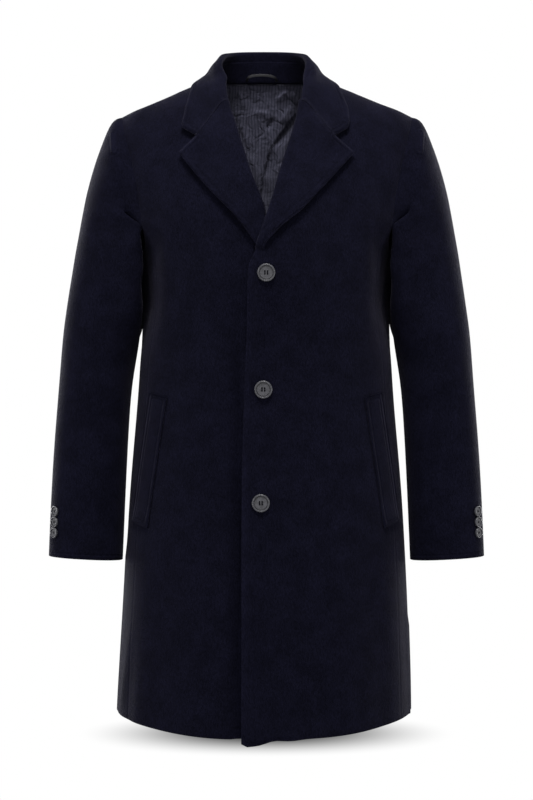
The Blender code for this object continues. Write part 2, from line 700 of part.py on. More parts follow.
def collar_half(side):
    """Stations from the nape to the gorge: the neckline, the fold's start, its turn and the leaf."""
    neck = np.concatenate([neckline_back()[::-1], neckline_front(side)[::-1][1:]])
    length = np.concatenate([[0.0], np.cumsum(np.linalg.norm(np.diff(neck, axis=0), axis=1))])
    share = length / length[-1]
    lapel, _ = lapel_grid(side)
    last_row = lapel[-1][::-1]
    bend_end = last_row[1]
    up_end = unit(bend_end - last_row[0])
    fold_end = bend_end + up_end * ROLL_RADIUS
    corner = on_front(side, *end_places(side, COLLAR_POINT)[-1], leaf_height(1.0, ROLL_RADIUS))
    _, past_x, past_y, past_z, past_edge_x, past_edge_y, past_edge_z = COLLAR_STATIONS[1]
    past_nape = (-COLLAR_STATIONS[1][0], -past_x, past_y, past_z, -past_edge_x, past_edge_y, past_edge_z)
    rows = (past_nape,) + COLLAR_STATIONS + ((1.0, *fold_end, *corner),)
    crease = np.stack([smooth_table(rows, column)(share) for column in (1, 2, 3)], axis=1)
    edge = np.stack([smooth_table(rows, column)(share) for column in (4, 5, 6)], axis=1)
    edge = settled(edge) + outward(settled(edge)) * LEAF_REST
    edge[-1] = corner
    rise = crease - neck
    tall = np.linalg.norm(rise, axis=1)
    up = unit(rise)
    over = edge - crease
    over = unit(over - np.sum(over * up, axis=1)[:, None] * up)
    over[-1] = outward(chest_point(*roll(side)[0][-1]))
    bends = crease - up * ROLL_RADIUS
    turns = np.array([fold(bends[i], up[i], over[i], ROLL_RADIUS) for i in range(len(neck))])
    end = np.concatenate([gorge_places(side), end_places(side, COLLAR_POINT)])
    columns = len(end)
    above = leaf_height(np.linspace(0.0, 1.0, columns), ROLL_RADIUS)
    end = on_front(side, end[:, 0], end[:, 1], above)
    start = turns[:, -1] + (edge - turns[:, -1]) * LEAF_TANGENT
    start[-1] = end[0]
    straight = np.linspace(0.0, 1.0, columns)[:, None]
    nape = start[0] + (edge[0] - start[0]) * straight
    leaf = patch(nape, end, start, edge)
    lift = np.broadcast_to(above[None, :], leaf.shape[:-1])
    leaf[:-1] = clear_of_body(leaf[:-1], lift[:-1])
    below = np.minimum(STAND_BELOW_FOLD, STAND_MOST_BELOW * np.maximum(tall - ROLL_RADIUS, 0.0))
    stand_top = bends - up * below[:, None]
    stand_top[-1] = last_row[1]
    stand = np.stack([neck, (neck + stand_top) / 2, stand_top], axis=1)
    before_turn = bends - up * FALL_TURN_FLAT
    before_turn[-1] = last_row[1] + up_end * FALL_TURN_FLAT
    fall = np.concatenate([stand_top[:, None], before_turn[:, None], turns, leaf], axis=1)
    return stand, fall


def mirrored(grid):
    """The same piece on the wearer's other side, with its columns turned round."""
    return (grid * np.array([-1.0, 1.0, 1.0]))[:, ::-1]


def on_side(grid, side):
    return grid if side > 0 else mirrored(grid)


def whole_collar():
    """Stand and fall round the neck, rows upwards, from the wearer's left to the right."""
    stand_left, fall_left = collar_half(1)
    stand_right, fall_right = collar_half(-1)
    flip = np.array([-1.0, 1.0, 1.0])
    stand = np.concatenate([stand_left[::-1], (stand_right * flip)[1:]])
    fall = np.concatenate([fall_left[::-1], (fall_right * flip)[1:]])
    return stand.transpose(1, 0, 2), fall.transpose(1, 0, 2)


def welt_grid():
    """A welt on the front and side panel, rows upwards."""
    corners = [WELT_LOW_INNER, WELT_LOW_OUTER, WELT_TOP_INNER, WELT_TOP_OUTER]
    turn = np.array([turn_at(x, height) for x, height in corners]).reshape(2, 2)
    height = np.array([height for _, height in corners]).reshape(2, 2)
    v = np.linspace(0.0, 1.0, WELT_ROWS + 1)[:, None]
    u = np.linspace(0.0, 1.0, WELT_COLUMNS + 1)[None, :]
    weights = ((1 - v) * (1 - u), (1 - v) * u, v * (1 - u), v * u)
    turn = sum(weight * value for weight, value in zip(weights, turn.flat))
    height = sum(weight * value for weight, value in zip(weights, height.flat))
    point = ring_point(turn, height)
    return point + outward(point) * (WELT_CLOTH + LYING_GAP)


def lining_grid(left, left_normals, right, right_normals):
    """Lining of the whole back, just inside the two back panels, and its normals, rows upwards."""
    whole = np.concatenate([left, right[:, 1:]], axis=1)
    normals = np.concatenate([left_normals, right_normals[:, 1:]], axis=1)
    step = whole[1] - whole[0]
    whole[0] += unit(step) * LINING_RISE
    whole -= normals * (CLOTH + LYING_GAP)
    return pulled_back(whole, LINING_INSET), normals


def surface_normals(grid):
    """One summed normal for each point of a grid, from the faces round it."""
    across = grid[1:, 1:] - grid[:-1, :-1]
    along = grid[1:, :-1] - grid[:-1, 1:]
    face = unit(np.cross(across, along))
    total = np.zeros_like(grid)
    for row, column in ((0, 0), (0, 1), (1, 0), (1, 1)):
        height, width = face.shape[:2]
        total[row : row + height, column : column + width] += face
    return total


def sewn_normals(grids):
    """Normals of every grid, shared where their points meet at a seam."""
    sums = {name: surface_normals(grid) for name, grid in grids.items()}
    points = np.concatenate([grid.reshape(-1, 3) for grid in grids.values()])
    normals = np.concatenate([sums[name].reshape(-1, 3) for name in grids])
    tree = kdtree.KDTree(len(points))
    for number, point in enumerate(points):
        tree.insert(Vector(point), number)
    tree.balance()
    shared = np.zeros_like(normals)
    for number, point in enumerate(points):
        own = unit(normals[number])
        for _, found, _ in tree.find_range(Vector(point), SAME_POINT):
            agreement = np.dot(own, unit(normals[found]))
            shared[number] += normals[found] * ease(agreement, *SEWN_AGREEMENT)
    result = {}
    start = 0
    for name, grid in grids.items():
        count = grid.shape[0] * grid.shape[1]
        result[name] = unit(shared[start : start + count]).reshape(grid.shape)
        start += count
    return result


def pulled_back(grid, gap):
    """The grid with each border drawn inwards along the cloth."""
    result = grid.copy()
    for turned in (grid, grid.transpose(1, 0, 2)):
        moved = result if turned is grid else result.transpose(1, 0, 2)
        for border, inside in ((0, 1), (-1, -2)):
            along = unit(np.gradient(turned[border], axis=0))
            way = turned[inside] - turned[border]
            way = unit(way - np.sum(way * along, axis=-1, keepdims=True) * along)
            moved[border] += way * gap
    return result


def material(name, finish):
    colour, roughness = finish
    made = bpy.data.materials.new(name)
    made.use_nodes = True
    shader = made.node_tree.nodes["Principled BSDF"]
    shader.inputs["Base Color"].default_value = (*colour, 1.0)
    shader.inputs["Roughness"].default_value = roughness
    return made


def add_object(name, mesh, finish):
    mesh.materials.append(finish)
    mesh.shade_smooth()
    mesh.set_sharp_from_angle(angle=math.radians(SHARP_ANGLE))
    made = bpy.data.objects.new(name, mesh)
    bpy.context.scene.collection.objects.link(made)
    return made


def wall(name, grid, normals, thickness, finish):
    """A closed wall on a grid: its outer face on the points, its inner face a thickness behind them."""
    rows, columns = grid.shape[:2]
    outer = pulled_back(grid, SEAM / 2)
    inner = outer - normals * np.broadcast_to(thickness, (rows, columns))[..., None]
    for face in (outer, inner):
        face[..., 0] += lean(face[..., 2])
    shape = bmesh.new()
    bmesh.ops.create_grid(shape, x_segments=columns - 1, y_segments=rows - 1, size=1.0)
    place = shape.verts.layers.int.new("place")
    shape.verts.ensure_lookup_table()
    for number, vertex in enumerate(shape.verts):
        vertex[place] = number
        vertex.co = outer.reshape(-1, 3)[number]
    grown = bmesh.ops.extrude_face_region(shape, geom=list(shape.faces))
    for vertex in grown["geom"]:
        if isinstance(vertex, bmesh.types.BMVert):
            vertex.co = inner.reshape(-1, 3)[vertex[place]]
    bmesh.ops.recalc_face_normals(shape, faces=list(shape.faces))
    bmesh.ops.triangulate(shape, faces=list(shape.faces), quad_method="SHORT_EDGE")
    mesh = bpy.data.meshes.new(name)
    shape.to_mesh(mesh)
    shape.free()
    return add_object(name, mesh, finish)


def button_mesh(name, size):
    """A turned button with a raised rim round a dished middle, its back on the plane z = 0."""
    across, thick = size
    shape = bmesh.new()
    places = [(radius * across / 2, 0.0, height * thick) for radius, height in BUTTON_PROFILE]
    corners = [shape.verts.new(place) for place in places]
    edges = [shape.edges.new(pair) for pair in zip(corners, corners[1:])]
    bmesh.ops.spin(
        shape,
        geom=corners + edges,
        axis=(0.0, 0.0, 1.0),
        cent=(0.0, 0.0, 0.0),
        angle=math.tau,
        steps=BUTTON_SIDES,
        use_merge=True,
    )
    bmesh.ops.remove_doubles(shape, verts=list(shape.verts), dist=SAME_POINT)
    bmesh.ops.recalc_face_normals(shape, faces=list(shape.faces))
    mesh = bpy.data.meshes.new(name)
    shape.to_mesh(mesh)
    shape.free()
    return mesh


def add_button(name, size, point, out, finish):
    """A button whose back lies just off the cloth at a point."""
    made = add_object(name, button_mesh(name, size), finish)
    place = np.array(point) + np.array(out) * SEAM
    place[0] += lean(place[2])
    turn = Vector(out).to_track_quat("Z", "Y")
    made.matrix_world = Matrix.Translation(Vector(place)) @ turn.to_matrix().to_4x4()
    return made


def add_loop(finish):
    """The hanger loop: a flat band arched over the nape, with both ends at the neck seam."""
    share = np.linspace(0.0, 1.0, LOOP_STEPS + 1)
    arch = np.sin(np.pi * share) ** LOOP_ARCH_POWER
    x = LOOP_MIDDLE + LOOP_HALF_SPAN * -np.cos(np.pi * share)
    height = NAPE_HEIGHT - LOOP_FOOT + LOOP_RISE * arch
    inside = back_depth(NAPE_HEIGHT) - CLOTH - LYING_GAP - 2 * SEAM
    curve = inside * (1 - (np.abs(x) / half_width(NAPE_HEIGHT)) ** BODY_POWER) ** (1 / BODY_POWER)
    y = curve - LOOP_THICKNESS - LOOP_STAND_OFF * arch
    middle = np.stack([x, y, height], axis=1)
    along = unit(np.gradient(middle, axis=0))
    forward = np.tile([0.0, -1.0, 0.0], (len(middle), 1))
    across = unit(np.cross(along, forward))
    forward = unit(np.cross(across, along))
    offset = LOOP_WIDTH / 2 * across
    grid = np.stack([middle - offset, middle + offset], axis=0)
    normals = np.stack([forward, forward], axis=0)
    return wall("hanger_loop", grid, normals, LOOP_THICKNESS, finish)


def build():
    for old in list(bpy.data.objects):
        bpy.data.objects.remove(old, do_unlink=True)
    navy = material("navy wool", NAVY_WOOL)
    lining = material("grey lining", GREY_LINING)
    satin = material("grey satin", GREY_SATIN)
    horn = material("grey horn", GREY_HORN)

    grids = {}
    thickness = {}
    sleeve = sleeve_grid()
    stand, fall = whole_collar()
    for side, word in ((1, "left"), (-1, "right")):
        lapel, lapel_cloth = lapel_grid(side)
        hind = sleeve[:, HIND_SEAM_STEP:-1]
        top_sleeve = np.concatenate([hind, sleeve[:, : FOREARM_SEAM_STEP + 1]], axis=1)
        under_sleeve = sleeve[:, FOREARM_SEAM_STEP : HIND_SEAM_STEP + 1]
        pieces = {
            "front": front_grid(side),
            "side_panel": side_grid(),
            "back": back_grid(),
            "sleeve_top": top_sleeve,
            "sleeve_under": under_sleeve,
            "lapel": lapel,
        }
        for piece, grid in pieces.items():
            placed = on_side(grid, side)
            grids[f"{piece}_{word}"] = swung(placed) if "sleeve" in piece else placed
        thickness[f"lapel_{word}"] = lapel_cloth if side > 0 else lapel_cloth[:, ::-1]
    grids["collar_stand"] = stand
    grids["collar_fall"] = fall
    thickness["collar_fall"] = TURNED_CLOTH

    normals = sewn_normals(grids)
    for name, grid in grids.items():
        wall(name, grid, normals[name], thickness.get(name, CLOTH), navy)

    backs = [table[name] for name in ("back_left", "back_right") for table in (grids, normals)]
    inside, inside_normals = lining_grid(*backs)
    wall("lining_back", inside, inside_normals, LINING_CLOTH, lining)
    add_loop(satin)

    for side, word in ((1, "left"), (-1, "right")):
        welt = welt_grid()
        wall(f"pocket_welt_{word}", on_side(welt, side), on_side(outward(welt), side), WELT_CLOTH, navy)

    for number, (height, x) in enumerate(FRONT_BUTTON_PLACES, 1):
        point = on_front(1, x, height)
        add_button(f"front_button_{number}", FRONT_BUTTON, point, outward(point), horn)
    for side, word in ((1, "left"), (-1, "right")):
        for number, height in enumerate(CUFF_BUTTON_HEIGHTS, 1):
            point, out = sleeve_place(CUFF_BUTTON_TURN, height)
            flip = np.array([side, 1.0, 1.0])
            add_button(f"cuff_button_{word}_{number}", CUFF_BUTTON, swung(point * flip), out * flip, horn)


build()
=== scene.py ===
"""Looks of the wool overcoat: shells of cloth on the solids' form, with creases, edges and finishes."""

import math

import bmesh
import bpy
import numpy as np
from mathutils import Matrix, Vector, kdtree


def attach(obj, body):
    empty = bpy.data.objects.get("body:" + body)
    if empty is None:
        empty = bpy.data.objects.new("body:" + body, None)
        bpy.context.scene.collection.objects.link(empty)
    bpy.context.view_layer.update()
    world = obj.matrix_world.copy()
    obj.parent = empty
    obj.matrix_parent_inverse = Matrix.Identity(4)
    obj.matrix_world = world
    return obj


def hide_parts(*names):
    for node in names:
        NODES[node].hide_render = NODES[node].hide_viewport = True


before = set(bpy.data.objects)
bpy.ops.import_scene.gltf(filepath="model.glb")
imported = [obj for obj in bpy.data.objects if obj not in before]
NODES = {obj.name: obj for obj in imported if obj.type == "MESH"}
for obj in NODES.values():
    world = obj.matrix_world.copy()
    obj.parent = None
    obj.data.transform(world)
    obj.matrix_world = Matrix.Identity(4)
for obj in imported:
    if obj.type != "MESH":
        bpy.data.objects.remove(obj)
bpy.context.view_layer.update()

# Camera: as far off and as high as the photograph's
CAMERA_PLACE = (0.0, -2.8333, -0.470)
CAMERA_LENS = 85.0
CAMERA_SENSOR = 36.0

# Floor just below the hem
FLOOR_HEIGHT = -0.9690
FLOOR_HALF = 12.0
# The coat's shadow painted into its glow: half sizes of the coat's foot, then shares of them where the
# painted shadow begins and ends
FOOT_HALF = (0.222, 0.155)
SHADE_START = 0.26
SHADE_END = 1.29
SHADE_DEEPEST = 0.10

# Lights: place, what they look at, size across and along, power in watts
LIGHTS = {
    "key": ((0.0, -1.4, 2.1), (0.0, 0.0, -0.40), (1.1, 0.7), 104.0),
    "front": ((-0.3, -4.2, 0.9), (0.0, 0.0, -0.4), (3.0, 2.6), 20.0),
    "top": ((0.0, 0.4, 2.3), (0.0, 0.0, -0.3), (2.6, 1.6), 26.0),
    "left_rim": ((-1.45, 1.5, -0.2), (0.0, 0.0, -0.5), (1.0, 1.8), 76.0),
    "right_rim": ((1.45, 1.5, -0.2), (0.0, 0.0, -0.5), (1.0, 1.8), 66.0),
    "left_side": ((-2.4, -0.5, -0.1), (-0.25, 0.0, -0.45), (1.0, 1.4), 24.0),
    "right_side": ((2.4, -0.5, -0.1), (0.25, 0.0, -0.45), (1.0, 1.4), 20.0),
}
SKY_STRENGTH = 0.19
BACKDROP_STRENGTH = 1.0

# Colours
WOOL_COLOUR = "#0a0a15"
WOOL_SHEEN = "#bfbad4"
LINING_COLOUR = "#4b4b5a"
STRIPE_COLOUR = "#373744"
SATIN_COLOUR = "#111015"
HORN_COLOURS = ("#303034", "#444449")
THREAD_AND_HOLE_SHADE_COLOUR = "#0d0d13"
WHITE = (1.0, 1.0, 1.0, 1.0)
BLACK = (0.0, 0.0, 0.0, 1.0)

# Ends of ramps: the part of a noise that counts, and a share that rises or falls
NOISE_RANGE = (0.3, 0.7)
NAP_RANGE = (0.28, 0.72)
RISING = (0.0, 1.0)
FALLING = (1.0, 0.0)

# Tones of the wool by its patches, nap and fibres, a highlight painted along its turned edges, and the
# fibres' share of its relief
PATCH_TONES = (0.82, 1.18)
PAINTED_HIGHLIGHT_TONES = (1.28, 1.0)
NAP_TONES = (0.62, 1.42)
FIBRE_TONES = (0.82, 1.20)
FIBRE_RELIEF = 0.35

# Looks of the wool's turned edges: distances from the edge where the highlight painted along it fades and
# where its roll is over
PAINTED_HIGHLIGHT_FADE = (0.0015, 0.0050)
EDGE_ROLL = (0.0, 0.0035)
# The line beside the roll that the stitches draw in: where it begins and ends, and its depth
STITCHES_START = (0.0045, 0.0068)
STITCHES_END = (0.0070, 0.0100)
STITCHES_DEPTH = 0.30

# Stripes of the lining: their spacing, their wander, how far a fold pulls them across, and their soft edges
STRIPE_SPACING = 0.0047
STRIPE_WANDER = 0.008
STRIPE_PULL = 0.4
STRIPE_EDGE = (0.08, 0.22)
# Shade painted on it: distances from its sewn top, heights down the neck, and the tones there
TOP_SHADE = (0.0, 0.0035)
NECK_SHADE = (-0.16, -0.05)
TOP_TONES = (0.15, 1.0)
NECK_TONES = (0.45, 1.0)
# Its net of creases: the bend of the lines, their width, where they show and their depth
NET_BEND = 0.022
NET_WIDTH = (0.0, 0.16)
NET_SHOWN = (0.42, 0.62)
CREASE_DEPTH = 0.30
# Shade painted in the creases, and tones on the swells between them
CREASE_PAINTED_SHADE = (1.0, 0.80)
SWELL_TONES = (0.93, 1.07)

# Lengths that count as nothing: between two points, and in a division
SAME_POINT = 1e-5
TINY = 1e-9

# Shells: angles in degrees below which two triangles make a quad, and above which an edge is a rim
FLAT_PAIR_ANGLE = 40.0
RIM_ANGLE = 55.0
# Steps of rounding, and rounds of fitting to the solid
CLOTH_LEVELS = 2
FITTING_ROUNDS = 3

# Seams: the widest gap between rims that are sewn together, and the share of it that each is drawn across
SEAM_REACH = 0.0016
SEAM_DRAW = 0.6

# Rounding of turned edges and of seams
EDGE_ROUND = 0.0006
SEAM_ROUND = 0.0002
EDGE_SEGMENTS = 2
EDGE_PROFILE = 0.5

# Turned edges: rims above the hem, on the fronts also those near the middle, whose roll is wider
HEM_TOP = -0.880
FRONT_EDGE_REACH = 0.040
FRONT_EDGE_WIDENING = 2.0
# On the lapels only the outer part of the width, taken at so many heights from the points near each
OUTER_SHARE = 0.5
LAPEL_LEVELS = 60
LEVEL_REACH = 0.004

# Pocket welts: how far the iron presses them, and how far above their low end that starts and is whole
WELT_PRESS = 0.0022
WELT_END = (0.006, 0.040)

# Roundness of the body: half sizes of its oval, and the least forward share of an outward direction
BODY_HALF_WIDTH = 0.205
BODY_HALF_DEPTH = 0.155
LEAST_FORWARD = 0.2

# Turned edges that stand a little off the cloth under them
# piece, rise at the edge, how far in it reaches, then the heights where it starts and is whole
EDGE_LIFTS = (
    ("lapel", 0.0050, 0.022, -0.268, -0.225),
    ("collar_fall", 0.0048, 0.024, -0.300, -0.200),
    ("front_left", 0.0050, 0.014, -0.250, -0.340),
)

# Raised band that carries the left lapel's roll on down the front edge
# rise, distances from the edge where it starts and is whole
# then the heights where it starts, is whole, fades and ends
EDGE_BAND = (0.0036, 0.0165, 0.0100, -0.243, -0.262, -0.300, -0.460)
# How far the lapel's low end sinks into it and draws back, then the heights where that starts and is whole
LAPEL_END = (0.0066, 0.0050, -0.246, -0.266)

# Valley that the left front's edge leaves in the right front beside it
# place across, half width, depth, then the heights where it starts and is whole
EDGE_VALLEY = (-0.0395, 0.0075, 0.0090, -0.290, -0.520)

# Fold lines of the lapels: height of the upper end, then for each its place across there and its slope
ROLL_TOP = -0.068
ROLL_LINES = {"left": (0.0390, 0.2715), "right": (-0.0497, -0.2874)}
ROLL_REACH = 0.022
# How far the fold has slipped across, by height
ROLL_SLIPS = {
    "left": (
        (-0.260, 0.0020),
        (-0.220, -0.0020),
        (-0.196, -0.0045),
        (-0.150, -0.0070),
        (-0.115, -0.0055),
        (-0.060, 0.0),
    ),
    "right": (
        (-0.250, 0.0),
        (-0.220, 0.0060),
        (-0.196, 0.0130),
        (-0.174, 0.0130),
        (-0.150, 0.0100),
        (-0.115, 0.0080),
        (-0.068, 0.0035),
        (-0.045, 0.0),
    ),
}
# How full the lapels' outer edges are, across, by height
LAPEL_FULLNESS = {
    "left": (
        (-0.275, 0.0),
        (-0.252, 0.0070),
        (-0.235, 0.0120),
        (-0.202, 0.0125),
        (-0.190, 0.0080),
        (-0.176, 0.0045),
        (-0.125, 0.0040),
        (-0.092, 0.0),
    ),
    "right": (
        (-0.250, 0.0),
        (-0.235, 0.0020),
        (-0.218, 0.0055),
        (-0.202, 0.0055),
        (-0.176, 0.0015),
        (-0.150, 0.0),
    ),
}
# Lean of the left front's edge, across, by height
EDGE_LEAN_REACH = 0.040
EDGE_LEAN = (
    (-0.950, 0.0),
    (-0.808, -0.0020),
    (-0.696, -0.0030),
    (-0.583, -0.0024),
    (-0.498, 0.0),
    (-0.385, 0.0030),
    (-0.301, 0.0038),
    (-0.268, 0.0010),
    (-0.255, 0.0),
)

# Roundness of the collar's leaf over the shoulders: height, half width, how far out
# then the distances from the centre where it starts and is whole
LEAF_ROUNDNESS = (
    (0.0245, 0.0120, 0.0034),
    (0.0035, 0.0075, -0.0030),
)
LEAF_SIDES = (0.045, 0.062)

# Ends of the seams between collar and lapels, where the two are drawn flush: how far round, and the moves
GORGE_ENDS = ((0.0535, -0.0915, -0.0370), (-0.0605, -0.0910, -0.0370))
GORGE_REACH = 0.0120
GORGE_MOVES = {"collar": (0.0, 0.0, -0.0008), "lapel": (0.0, -0.0018, 0.0022)}

# Lower front corner of the left front: its radius, and how much of a full round it is
CORNER_RADIUS = 0.0060
CORNER_SHARE = 0.8
# Pull of the hem beside it: place across, half width, rise, then the heights where it starts and is whole
HEM_PULL = (0.010, 0.016, 0.0045, -0.890, -0.955)

# Middle line of the sleeves, which the sleeves' folds go round
# height, distance from the centre, y
SLEEVE_MIDDLE = (
    (-0.705, 0.2690, -0.024),
    (-0.620, 0.2655, -0.022),
    (-0.497, 0.2590, -0.016),
    (-0.385, 0.2485, -0.011),
    (-0.300, 0.2390, -0.007),
    (-0.200, 0.2280, -0.005),
)

# The sleeves' front fold, which lies over the pit of the arm
# height, distance of the pit's bottom from the centre, how far the fold goes inwards and forwards
ARM_PIT = (
    (-0.400, 0.1700, 0.0, 0.0),
    (-0.360, 0.1700, 0.0, 0.0030),
    (-0.330, 0.1700, 0.0020, 0.0060),
    (-0.290, 0.1700, 0.0040, 0.0080),
    (-0.260, 0.1780, 0.0090, 0.0080),
    (-0.245, 0.1900, 0.0160, 0.0080),
    (-0.230, 0.2008, 0.0240, 0.0070),
    (-0.215, 0.2042, 0.0290, 0.0070),
    (-0.205, 0.2060, 0.0160, 0.0060),
    (-0.195, 0.2067, 0.0040, 0.0040),
    (-0.180, 0.2067, 0.0, 0.0),
)
# Distances from the pit's bottom where the fold is whole, starts to fade and ends
# then the depths where it starts and is whole
PIT_REACH = (0.007, 0.012, 0.060)
PIT_DEPTH = (-0.035, -0.068)

# Hollow of the body behind that fold: how far it goes inwards, by height
# then the distances from the centre, and the depths, where it starts and is whole
SIDE_HOLLOW = (
    (-0.410, 0.0),
    (-0.360, 0.0080),
    (-0.330, 0.0140),
    (-0.250, 0.0140),
    (-0.232, 0.0080),
    (-0.215, 0.0),
)
HOLLOW_SIDES = (0.140, 0.182)
HOLLOW_DEPTHS = (0.010, -0.040)

# Lie of every fold: the sway of its line and the length of its fading ends, both in half widths
# the most of its length that an end takes up, and how far an end runs on past it
FOLD_SWAY = 0.12
FOLD_END_WIDTHS = 2.5
FOLD_END_SHARE = 0.35
FOLD_OVERRUN = 0.2
# Radii by which the folds' turns become lengths
BODY_RADIUS = 0.185
SLEEVE_RADIUS = 0.054

# Soft folds of the body; a negative rise is a trough
# turn from centre front and height at one end, the same at the other end, half width, rise
BODY_FOLDS = (
    (24.0, -0.690, 27.0, -0.985, 0.034, 0.0030),
    (42.0, -0.640, 47.0, -0.985, 0.030, -0.0026),
    (-16.0, -0.720, -20.0, -0.985, 0.036, 0.0024),
    (-40.0, -0.660, -44.0, -0.985, 0.032, -0.0026),
    (-62.0, -0.800, -70.0, -0.930, 0.010, 0.0016),
    (-58.0, -0.840, -62.0, -0.960, 0.012, -0.0014),
    (-84.0, -0.680, -86.0, -0.960, 0.009, 0.0016),
    (73.0, -0.770, 75.0, -0.960, 0.007, 0.0020),
    (80.0, -0.760, 82.0, -0.950, 0.006, -0.0017),
    (86.0, -0.790, 87.0, -0.960, 0.007, 0.0018),
    (38.0, -0.215, 20.0, -0.285, 0.020, -0.0016),
    (-38.0, -0.230, -24.0, -0.300, 0.022, -0.0017),
    (30.0, -0.330, 50.0, -0.370, 0.024, 0.0014),
    (-34.0, -0.345, -55.0, -0.375, 0.022, 0.0013),
    (50.0, -0.130, 47.0, -0.210, 0.016, -0.0016),
    (-50.0, -0.135, -46.0, -0.215, 0.017, -0.0017),
    (160.0, -0.520, 157.0, -0.985, 0.040, 0.0045),
    (-158.0, -0.560, -155.0, -0.985, 0.042, 0.0042),
    (140.0, -0.600, 136.0, -0.985, 0.034, -0.0036),
    (-137.0, -0.570, -133.0, -0.985, 0.034, -0.0038),
    (118.0, -0.700, 115.0, -0.985, 0.026, 0.0026),
    (-113.0, -0.720, -110.0, -0.985, 0.026, 0.0028),
    (128.0, -0.190, 139.0, -0.340, 0.018, -0.0034),
    (-127.0, -0.200, -141.0, -0.330, 0.019, -0.0036),
    (150.0, -0.395, 170.0, -0.415, 0.020, -0.0022),
    (-148.0, -0.385, -171.0, -0.405, 0.020, -0.0020),
    (152.0, -0.060, 165.0, -0.120, 0.022, -0.0016),
    (-150.0, -0.065, -163.0, -0.125, 0.022, -0.0018),
)

# Soft folds of the sleeves, round the sleeve from its outer side forwards
# wearer's side, turn and height at one end, the same at the other end, half width, rise
SLEEVE_FOLDS = (
    (1, 55.0, -0.300, 118.0, -0.335, 0.013, -0.0018),
    (1, 68.0, -0.385, 150.0, -0.425, 0.012, -0.0026),
    (1, 40.0, -0.415, 120.0, -0.455, 0.014, 0.0018),
    (1, 75.0, -0.462, 150.0, -0.488, 0.012, -0.0020),
    (1, 28.0, -0.545, 92.0, -0.580, 0.016, 0.0014),
    (1, 80.0, -0.612, 140.0, -0.640, 0.013, -0.0016),
    (1, 235.0, -0.330, 305.0, -0.300, 0.014, -0.0022),
    (1, 225.0, -0.395, 310.0, -0.430, 0.014, -0.0032),
    (1, 215.0, -0.450, 300.0, -0.478, 0.015, 0.0024),
    (1, 240.0, -0.560, 320.0, -0.590, 0.016, -0.0020),
    (-1, 50.0, -0.310, 112.0, -0.350, 0.014, -0.0017),
    (-1, 72.0, -0.400, 150.0, -0.432, 0.012, -0.0024),
    (-1, 36.0, -0.432, 112.0, -0.470, 0.015, 0.0019),
    (-1, 70.0, -0.486, 150.0, -0.505, 0.012, -0.0021),
    (-1, 30.0, -0.575, 85.0, -0.600, 0.015, 0.0015),
    (-1, 85.0, -0.622, 142.0, -0.655, 0.013, -0.0015),
    (-1, 232.0, -0.345, 300.0, -0.310, 0.014, -0.0020),
    (-1, 222.0, -0.410, 312.0, -0.440, 0.015, -0.0030),
    (-1, 218.0, -0.470, 302.0, -0.492, 0.015, 0.0022),
    (-1, 238.0, -0.575, 318.0, -0.602, 0.016, -0.0022),
)

# Folds of the hanging lining, as seen from the front
# x and height at the upper end, the same at the lower end, half width on the left and on the right, rise
LINING_FOLDS = (
    (0.0525, -0.0225, 0.0065, -0.0800, 0.0021, 0.0090, -0.0050),
    (0.0080, -0.0760, -0.0050, -0.1280, 0.0022, 0.0090, -0.0052),
    (-0.0045, -0.1220, -0.0080, -0.1620, 0.0026, 0.0080, -0.0044),
    (0.0100, -0.0330, 0.0005, -0.0500, 0.0024, 0.0060, -0.0034),
    (0.0330, 0.0060, 0.0140, -0.0080, 0.0024, 0.0070, 0.0028),
    (0.0380, 0.0060, 0.0500, -0.0160, 0.0070, 0.0024, 0.0032),
    (0.0400, -0.0140, 0.0200, -0.0420, 0.0030, 0.0080, 0.0020),
    (-0.0440, 0.0080, -0.0320, -0.0200, 0.0060, 0.0026, 0.0018),
    (-0.0250, -0.0230, 0.0080, -0.0280, 0.0060, 0.0026, 0.0014),
    (-0.0420, -0.0400, -0.0240, -0.0860, 0.0028, 0.0080, 0.0018),
    (-0.0260, -0.0860, -0.0120, -0.1300, 0.0028, 0.0070, 0.0022),
    (-0.0170, -0.1150, -0.0070, -0.1650, 0.0026, 0.0050, 0.0026),
    (0.0200, -0.1040, 0.0080, -0.1700, 0.0040, 0.0028, 0.0022),
    (-0.0600, -0.1600, -0.0450, -0.4200, 0.0180, 0.0180, 0.0050),
    (0.0600, -0.2000, 0.0500, -0.5200, 0.0180, 0.0180, 0.0050),
    (0.0050, -0.2600, -0.0100, -0.7200, 0.0200, 0.0200, 0.0060),
)
# Heights where these folds start and are whole
LINING_FOLD_TOP = (0.016, 0.004)
# Its slack, then the heights and the distances from the centre where that starts and is whole
LINING_SLACK = 0.0066
SLACK_HEIGHTS = (0.012, -0.040)
SLACK_SIDES = (0.150, 0.080)
# The part of it that shows in the neck, with finer points: half its width and its lowest height
LINING_SHOWN = (0.085, -0.240)
# Height above which its rim is its sewn top
LINING_TOP = 0.005

# Pieces of wool
WOOL_NODES = (
    "front_left",
    "front_right",
    "side_panel_left",
    "side_panel_right",
    "back_left",
    "back_right",
    "sleeve_top_left",
    "sleeve_top_right",
    "sleeve_under_left",
    "sleeve_under_right",
    "collar_stand",
    "collar_fall",
    "lapel_left",
    "lapel_right",
    "pocket_welt_left",
    "pocket_welt_right",
)

# Buttons: their roundness, and the angle in degrees above which an edge stays sharp
BUTTON_NODES = [name for name in NODES if "button" in name]
BUTTON_SIDES = 64
BUTTON_SAME_POINT = 1e-6
SHARP_ANGLE = 38.0
# Holes and thread: shares of the button's width, and the holes' depth as a share of the dish's height
HOLE_SIDES = 14
HOLE_RADIUS_SHARE = 0.050
HOLE_PLACE_SHARE = 0.104
HOLE_DEPTH_SHARE = 0.5
THREAD_SIDES = 8
THREAD_RADIUS_SHARE = 0.036
# Share of the thickness at the dish, and below which an open edge is the back's
DISH_HEIGHT = 0.58
BACK_HEIGHT = 0.25
